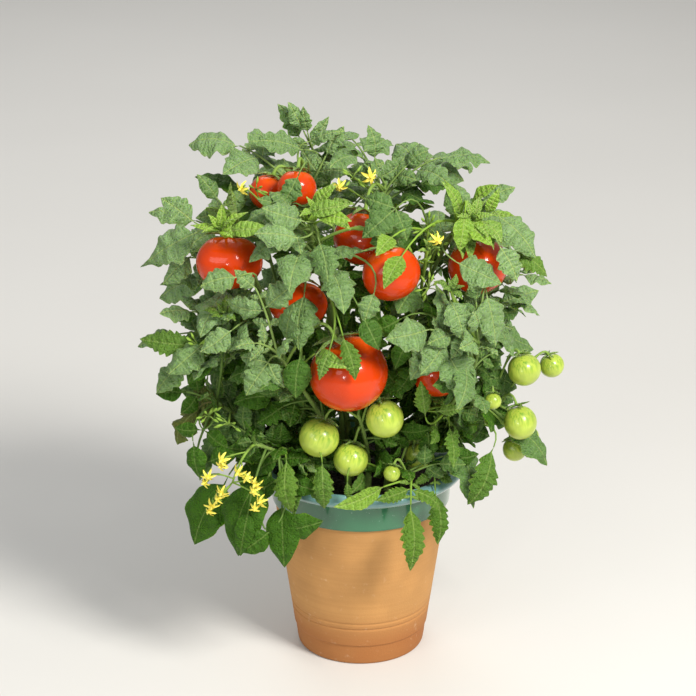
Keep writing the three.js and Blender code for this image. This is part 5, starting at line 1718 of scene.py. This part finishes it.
def make_pot():
    """Makes the pot, with its drain holes, in place of its solid."""
    profile = POT_FOOT + outer_wall() + rounded(POT_BAND, 4) + rounded(POT_LIP)[1:] + POT_INSIDE
    body = link("pot_body", spun("pot_body", profile, POT_SIDES))
    drills = drain_drills()
    for drill in drills:
        cut = body.modifiers.new("drain", "BOOLEAN")
        cut.operation = "DIFFERENCE"
        cut.object = drill
    mesh = frozen(body, "clay_pot")
    for drill in drills:
        bpy.data.objects.remove(drill)
    mesh.materials.clear()
    mesh.materials.append(material("glazed_clay", pot_material))
    mesh.shade_smooth()
    mesh.set_sharp_from_angle(angle=math.radians(POT_SHARP_ANGLE))
    settle(link("clay_pot", mesh), "clay", "pot")


def soil_mesh():
    """The heap of soil, uneven on top, with a plain side and floor inside the pot."""
    mesh = spun("potting_soil", SOIL_SIDE + rounded(SOIL_TOP, 9), SOIL_SIDES)
    for vertex in mesh.vertices:
        place = vertex.co / MM
        if place.z > BUMPS_LOWEST and place.to_2d().length < BUMPS_WIDEST:
            bump = sum(noise.noise(place * pitch) * height for pitch, height in SOIL_BUMPS)
            vertex.co.z += bump * MM
    return mesh


# Scattered crumbs and hairs

def node_group(name, inputs):
    """An empty group of geometry nodes with named inputs, and its input and output nodes."""
    group = bpy.data.node_groups.new(name, "GeometryNodeTree")
    group.interface.new_socket("Geometry", in_out="INPUT", socket_type="NodeSocketGeometry")
    for label, kind in inputs:
        group.interface.new_socket(label, in_out="INPUT", socket_type=kind)
    group.interface.new_socket("Geometry", in_out="OUTPUT", socket_type="NodeSocketGeometry")
    return group, group.nodes.new("NodeGroupInput").outputs, group.nodes.new("NodeGroupOutput")


def add_node(group, kind, links):
    """Adds a node whose inputs, by name or number, are joined to these sockets, and gives its outputs."""
    node = group.nodes.new(kind)
    for key, socket in links.items():
        group.links.new(socket, node.inputs[key])
    return node.outputs


def random_turn(group):
    """A turn for each scattered shape: a small tilt and any way round."""
    turn = group.nodes.new("FunctionNodeRandomValue")
    turn.data_type = "FLOAT_VECTOR"
    turn.inputs[0].default_value = -SCATTER_TURN
    turn.inputs[1].default_value = SCATTER_TURN
    return turn.outputs[0]


def scatter_group(name, shape, sockets):
    """Nodes that stand a small shape many times on the part of a surface above the lowest height."""
    group, source, result = node_group(name, [
        ("Density", "NodeSocketFloat"), ("Smallest", "NodeSocketFloat"), ("Largest", "NodeSocketFloat"),
        ("Lowest", "NodeSocketFloat"), ("Seed", "NodeSocketInt"), ("Finish", "NodeSocketMaterial"),
    ])
    body = group.nodes.new(shape)
    for key, value in sockets.items():
        body.inputs[key].default_value = value
    position = add_node(group, "GeometryNodeInputPosition", {})
    split = add_node(group, "ShaderNodeSeparateXYZ", {0: position[0]})
    high = add_node(group, "FunctionNodeCompare", {"A": split["Z"], "B": source["Lowest"]})
    spread = add_node(group, "GeometryNodeDistributePointsOnFaces", {
        "Mesh": source["Geometry"], "Selection": high[0], "Density": source["Density"],
        "Seed": source["Seed"],
    })
    size = add_node(group, "FunctionNodeRandomValue", {
        2: source["Smallest"], 3: source["Largest"], "Seed": source["Seed"],
    })
    turn = add_node(group, "FunctionNodeRotateRotation", {
        "Rotation": spread["Rotation"], "Rotate By": random_turn(group),
    })
    turn[0].node.rotation_space = "LOCAL"
    stand = add_node(group, "GeometryNodeInstanceOnPoints", {
        "Points": spread["Points"], "Instance": body.outputs["Mesh"], "Rotation": turn[0],
        "Scale": size[1],
    })
    real = add_node(group, "GeometryNodeRealizeInstances", {"Geometry": stand["Instances"]})
    finish = add_node(group, "GeometryNodeSetMaterial", {
        "Geometry": real["Geometry"], "Material": source["Finish"],
    })
    group.links.new(finish["Geometry"], result.inputs["Geometry"])
    return group


def scattered(name, surface, group, values):
    """A piece made by standing a group's shape all over a surface, which is used up."""
    modifier = surface.modifiers.new(name, "NODES")
    modifier.node_group = group
    for item in group.interface.items_tree:
        if item.item_type == "SOCKET" and item.name in values:
            modifier[item.identifier] = values[item.name]
    return link(name, frozen(surface, name))


# Operators

class TOMATO_OT_pot(bpy.types.Operator):
    """Make the clay pot with its glazed rim"""

    bl_idname = "tomato.pot"
    bl_label = "Clay pot"

    def execute(self, context):
        """Makes the pot."""
        make_pot()
        return {"FINISHED"}


class TOMATO_OT_soil(bpy.types.Operator):
    """Fill the pot with crumbly soil"""

    bl_idname = "tomato.soil"
    bl_label = "Soil"

    def execute(self, context):
        """Makes the soil and scatters crumbs over it."""
        finish = material("potting_soil", soil_material)
        mesh = soil_mesh()
        mesh.materials.append(finish)
        settle(link("potting_soil", mesh), "peat", "soil")
        surface = link("soil_top", mesh.copy())
        group = scatter_group("soil_crumbs", "GeometryNodeMeshIcoSphere", {"Radius": MM, "Subdivisions": 1})
        smallest, largest = CRUMB_SIZES
        crumbs = scattered("soil_crumbs", surface, group, {
            "Density": float(context.scene.tomato_pot.crumbs), "Smallest": smallest, "Largest": largest,
            "Lowest": (SOIL_TOP[0][1] + 1) * MM, "Seed": SEED, "Finish": finish,
        })
        settle(crumbs, "peat")
        return {"FINISHED"}


class TOMATO_OT_plant(bpy.types.Operator):
    """Grow the stems with their leaves, stalks, calyxes and buds"""

    bl_idname = "tomato.plant"
    bl_label = "Leafy stems"

    def execute(self, context):
        """Makes one piece for each leafy stem."""
        finishes = [material("leaf_blade", leaf_material), material("stalk_skin", stalk_material)]
        leaves = LEAVES + list(ruled_leaves())
        for number, (name, *_) in enumerate(STEMS):
            rng = random.Random(SEED + number)
            solid = node_points(name)
            shell = Shell()
            add_stem(shell, name, rng)
            for share, tip, pairs, arch, look in carried_by(name, leaves):
                base = stem_point(name, share)
                end = settled_tip(solid, base, Vector(tip))
                add_leaf(shell, base, end, pairs, arch, look, rng)
            add_fruit_stalks(shell, name, rng)
            add_bloom_stalks(shell, name)
            add_buds(shell, name, rng)
            add_hung_leaflets(shell, name, rng)
            add_shoots(shell, name, rng)
            add_fillers(shell, name, context.scene.tomato_leaf.fillers, rng)
            settle(shell.build("leafy_" + name, finishes), "greenery", name)
        return {"FINISHED"}


class TOMATO_OT_hairs(bpy.types.Operator):
    """Cover the stems and stalks with fine hairs"""

    bl_idname = "tomato.hairs"
    bl_label = "Stem hairs"

    def execute(self, context):
        """Scatters hairs over the stems' skin."""
        shell = Shell()
        for number, (name, *_) in enumerate(STEMS):
            rng = random.Random(SEED + number)
            add_stem(shell, name, rng)
            add_fruit_stalks(shell, name, rng)
            add_bloom_stalks(shell, name)
        surface = shell.build("hairy_skin", [])
        group = scatter_group("stem_hairs", "GeometryNodeMeshCone", {
            "Vertices": 3, "Radius Top": 0, "Radius Bottom": HAIR_RADIUS * MM, "Depth": HAIR_LENGTH * MM,
        })
        smallest, largest = HAIR_SIZES
        hairs = scattered("stem_hairs", surface, group, {
            "Density": HAIR_DENSITY, "Smallest": smallest, "Largest": largest,
            "Lowest": STEM_FOOT_HEIGHT * MM, "Seed": SEED, "Finish": material("stem_hair", hair_material),
        })
        settle(hairs, "greenery")
        return {"FINISHED"}


class TOMATO_OT_fruit(bpy.types.Operator):
    """Hang the ripe and unripe tomatoes"""

    bl_idname = "tomato.fruit"
    bl_label = "Tomatoes"

    def execute(self, context):
        """Makes one piece for each tomato."""
        for row in RED_TOMATOES:
            make_fruit(row, material("ripe_skin", ripe_material), "red_fruit")
        for row in GREEN_TOMATOES:
            make_fruit(row, material("unripe_skin", unripe_material), "green_fruit")
        return {"FINISHED"}


class TOMATO_OT_blooms(bpy.types.Operator):
    """Open the yellow blooms"""

    bl_idname = "tomato.blooms"
    bl_label = "Blooms"

    def execute(self, context):
        """Makes one piece for each bloom."""
        finishes = [material("petal", petal_material), material("stalk_skin", stalk_material)]
        rng = random.Random(SEED)
        for row in BLOOMS:
            make_bloom(row, finishes, rng)
        return {"FINISHED"}


class TOMATO_OT_stage(bpy.types.Operator):
    """Set the floor, the lights and the camera"""

    bl_idname = "tomato.stage"
    bl_label = "Stage"

    def execute(self, context):
        """Makes the stage."""
        stage = context.scene.tomato_stage
        bpy.ops.mesh.primitive_plane_add(size=stage.floor_size)
        floor = context.object
        floor.name = "studio_floor"
        floor.data.materials.append(material("pale_floor", floor_material))
        for name, place, size, power, tint in LIGHTS:
            add_light(name, place, size, getattr(stage, power), tint)
        world = bpy.data.worlds.new("studio")
        world.use_nodes = True
        sky = world.node_tree.nodes["Background"].inputs
        sky["Color"].default_value = WHITE
        sky["Strength"].default_value = stage.sky
        context.scene.world = world
        context.scene.view_settings.view_transform = "Standard"
        camera = bpy.data.cameras.new("camera")
        camera.lens = CAMERA_LENS
        camera.sensor_width = SENSOR_WIDTH
        seat = link("camera", camera)
        seat.location = CAMERA_PLACE
        seat.rotation_euler = (math.radians(CAMERA_TILT), 0, 0)
        context.scene.camera = seat
        return {"FINISHED"}


def add_light(name, place, size, power, tint):
    """Adds a soft square light that looks at the plant."""
    light = bpy.data.lights.new(name, "AREA")
    light.size = size
    light.energy = power
    light.color = tint
    lamp = link(name, light)
    lamp.location = place
    aim = LIGHT_AIM - Vector(place)
    lamp.rotation_euler = aim.to_track_quat("-Z", "Y").to_euler()


OPERATORS = [
    TOMATO_OT_stage, TOMATO_OT_pot, TOMATO_OT_soil, TOMATO_OT_plant, TOMATO_OT_hairs, TOMATO_OT_fruit,
    TOMATO_OT_blooms,
]
SETTINGS = {
    "tomato_leaf": LeafSettings,
    "tomato_fruit": FruitSettings,
    "tomato_pot": PotSettings,
    "tomato_stage": StageSettings,
}


class TOMATO_PT_panel(bpy.types.Panel):
    """Lists the steps that dress the plant, with their settings"""

    bl_label = "Potted tomato"
    bl_idname = "TOMATO_PT_panel"
    bl_space_type = "VIEW_3D"
    bl_region_type = "UI"
    bl_category = "Tomato"

    def draw(self, context):
        """Draws the buttons and settings."""
        for step in OPERATORS:
            self.layout.operator(step.bl_idname)
        for group in SETTINGS:
            settings = getattr(context.scene, group)
            for name in settings.__annotations__:
                self.layout.prop(settings, name)


def register():
    """Registers the settings, operators and panel."""
    for name, group in SETTINGS.items():
        bpy.utils.register_class(group)
        setattr(bpy.types.Scene, name, PointerProperty(type=group))
    for step in OPERATORS:
        bpy.utils.register_class(step)
    bpy.utils.register_class(TOMATO_PT_panel)


def unregister():
    """Takes the panel, operators and settings away again."""
    bpy.utils.unregister_class(TOMATO_PT_panel)
    for step in reversed(OPERATORS):
        bpy.utils.unregister_class(step)
    for name, group in SETTINGS.items():
        delattr(bpy.types.Scene, name)
        bpy.utils.unregister_class(group)


def main():
    """Dresses the plant."""
    register()
    bpy.ops.tomato.stage()
    bpy.ops.tomato.pot()
    bpy.ops.tomato.soil()
    bpy.ops.tomato.plant()
    bpy.ops.tomato.hairs()
    bpy.ops.tomato.fruit()
    bpy.ops.tomato.blooms()


if __name__ == "__main__":
    main()
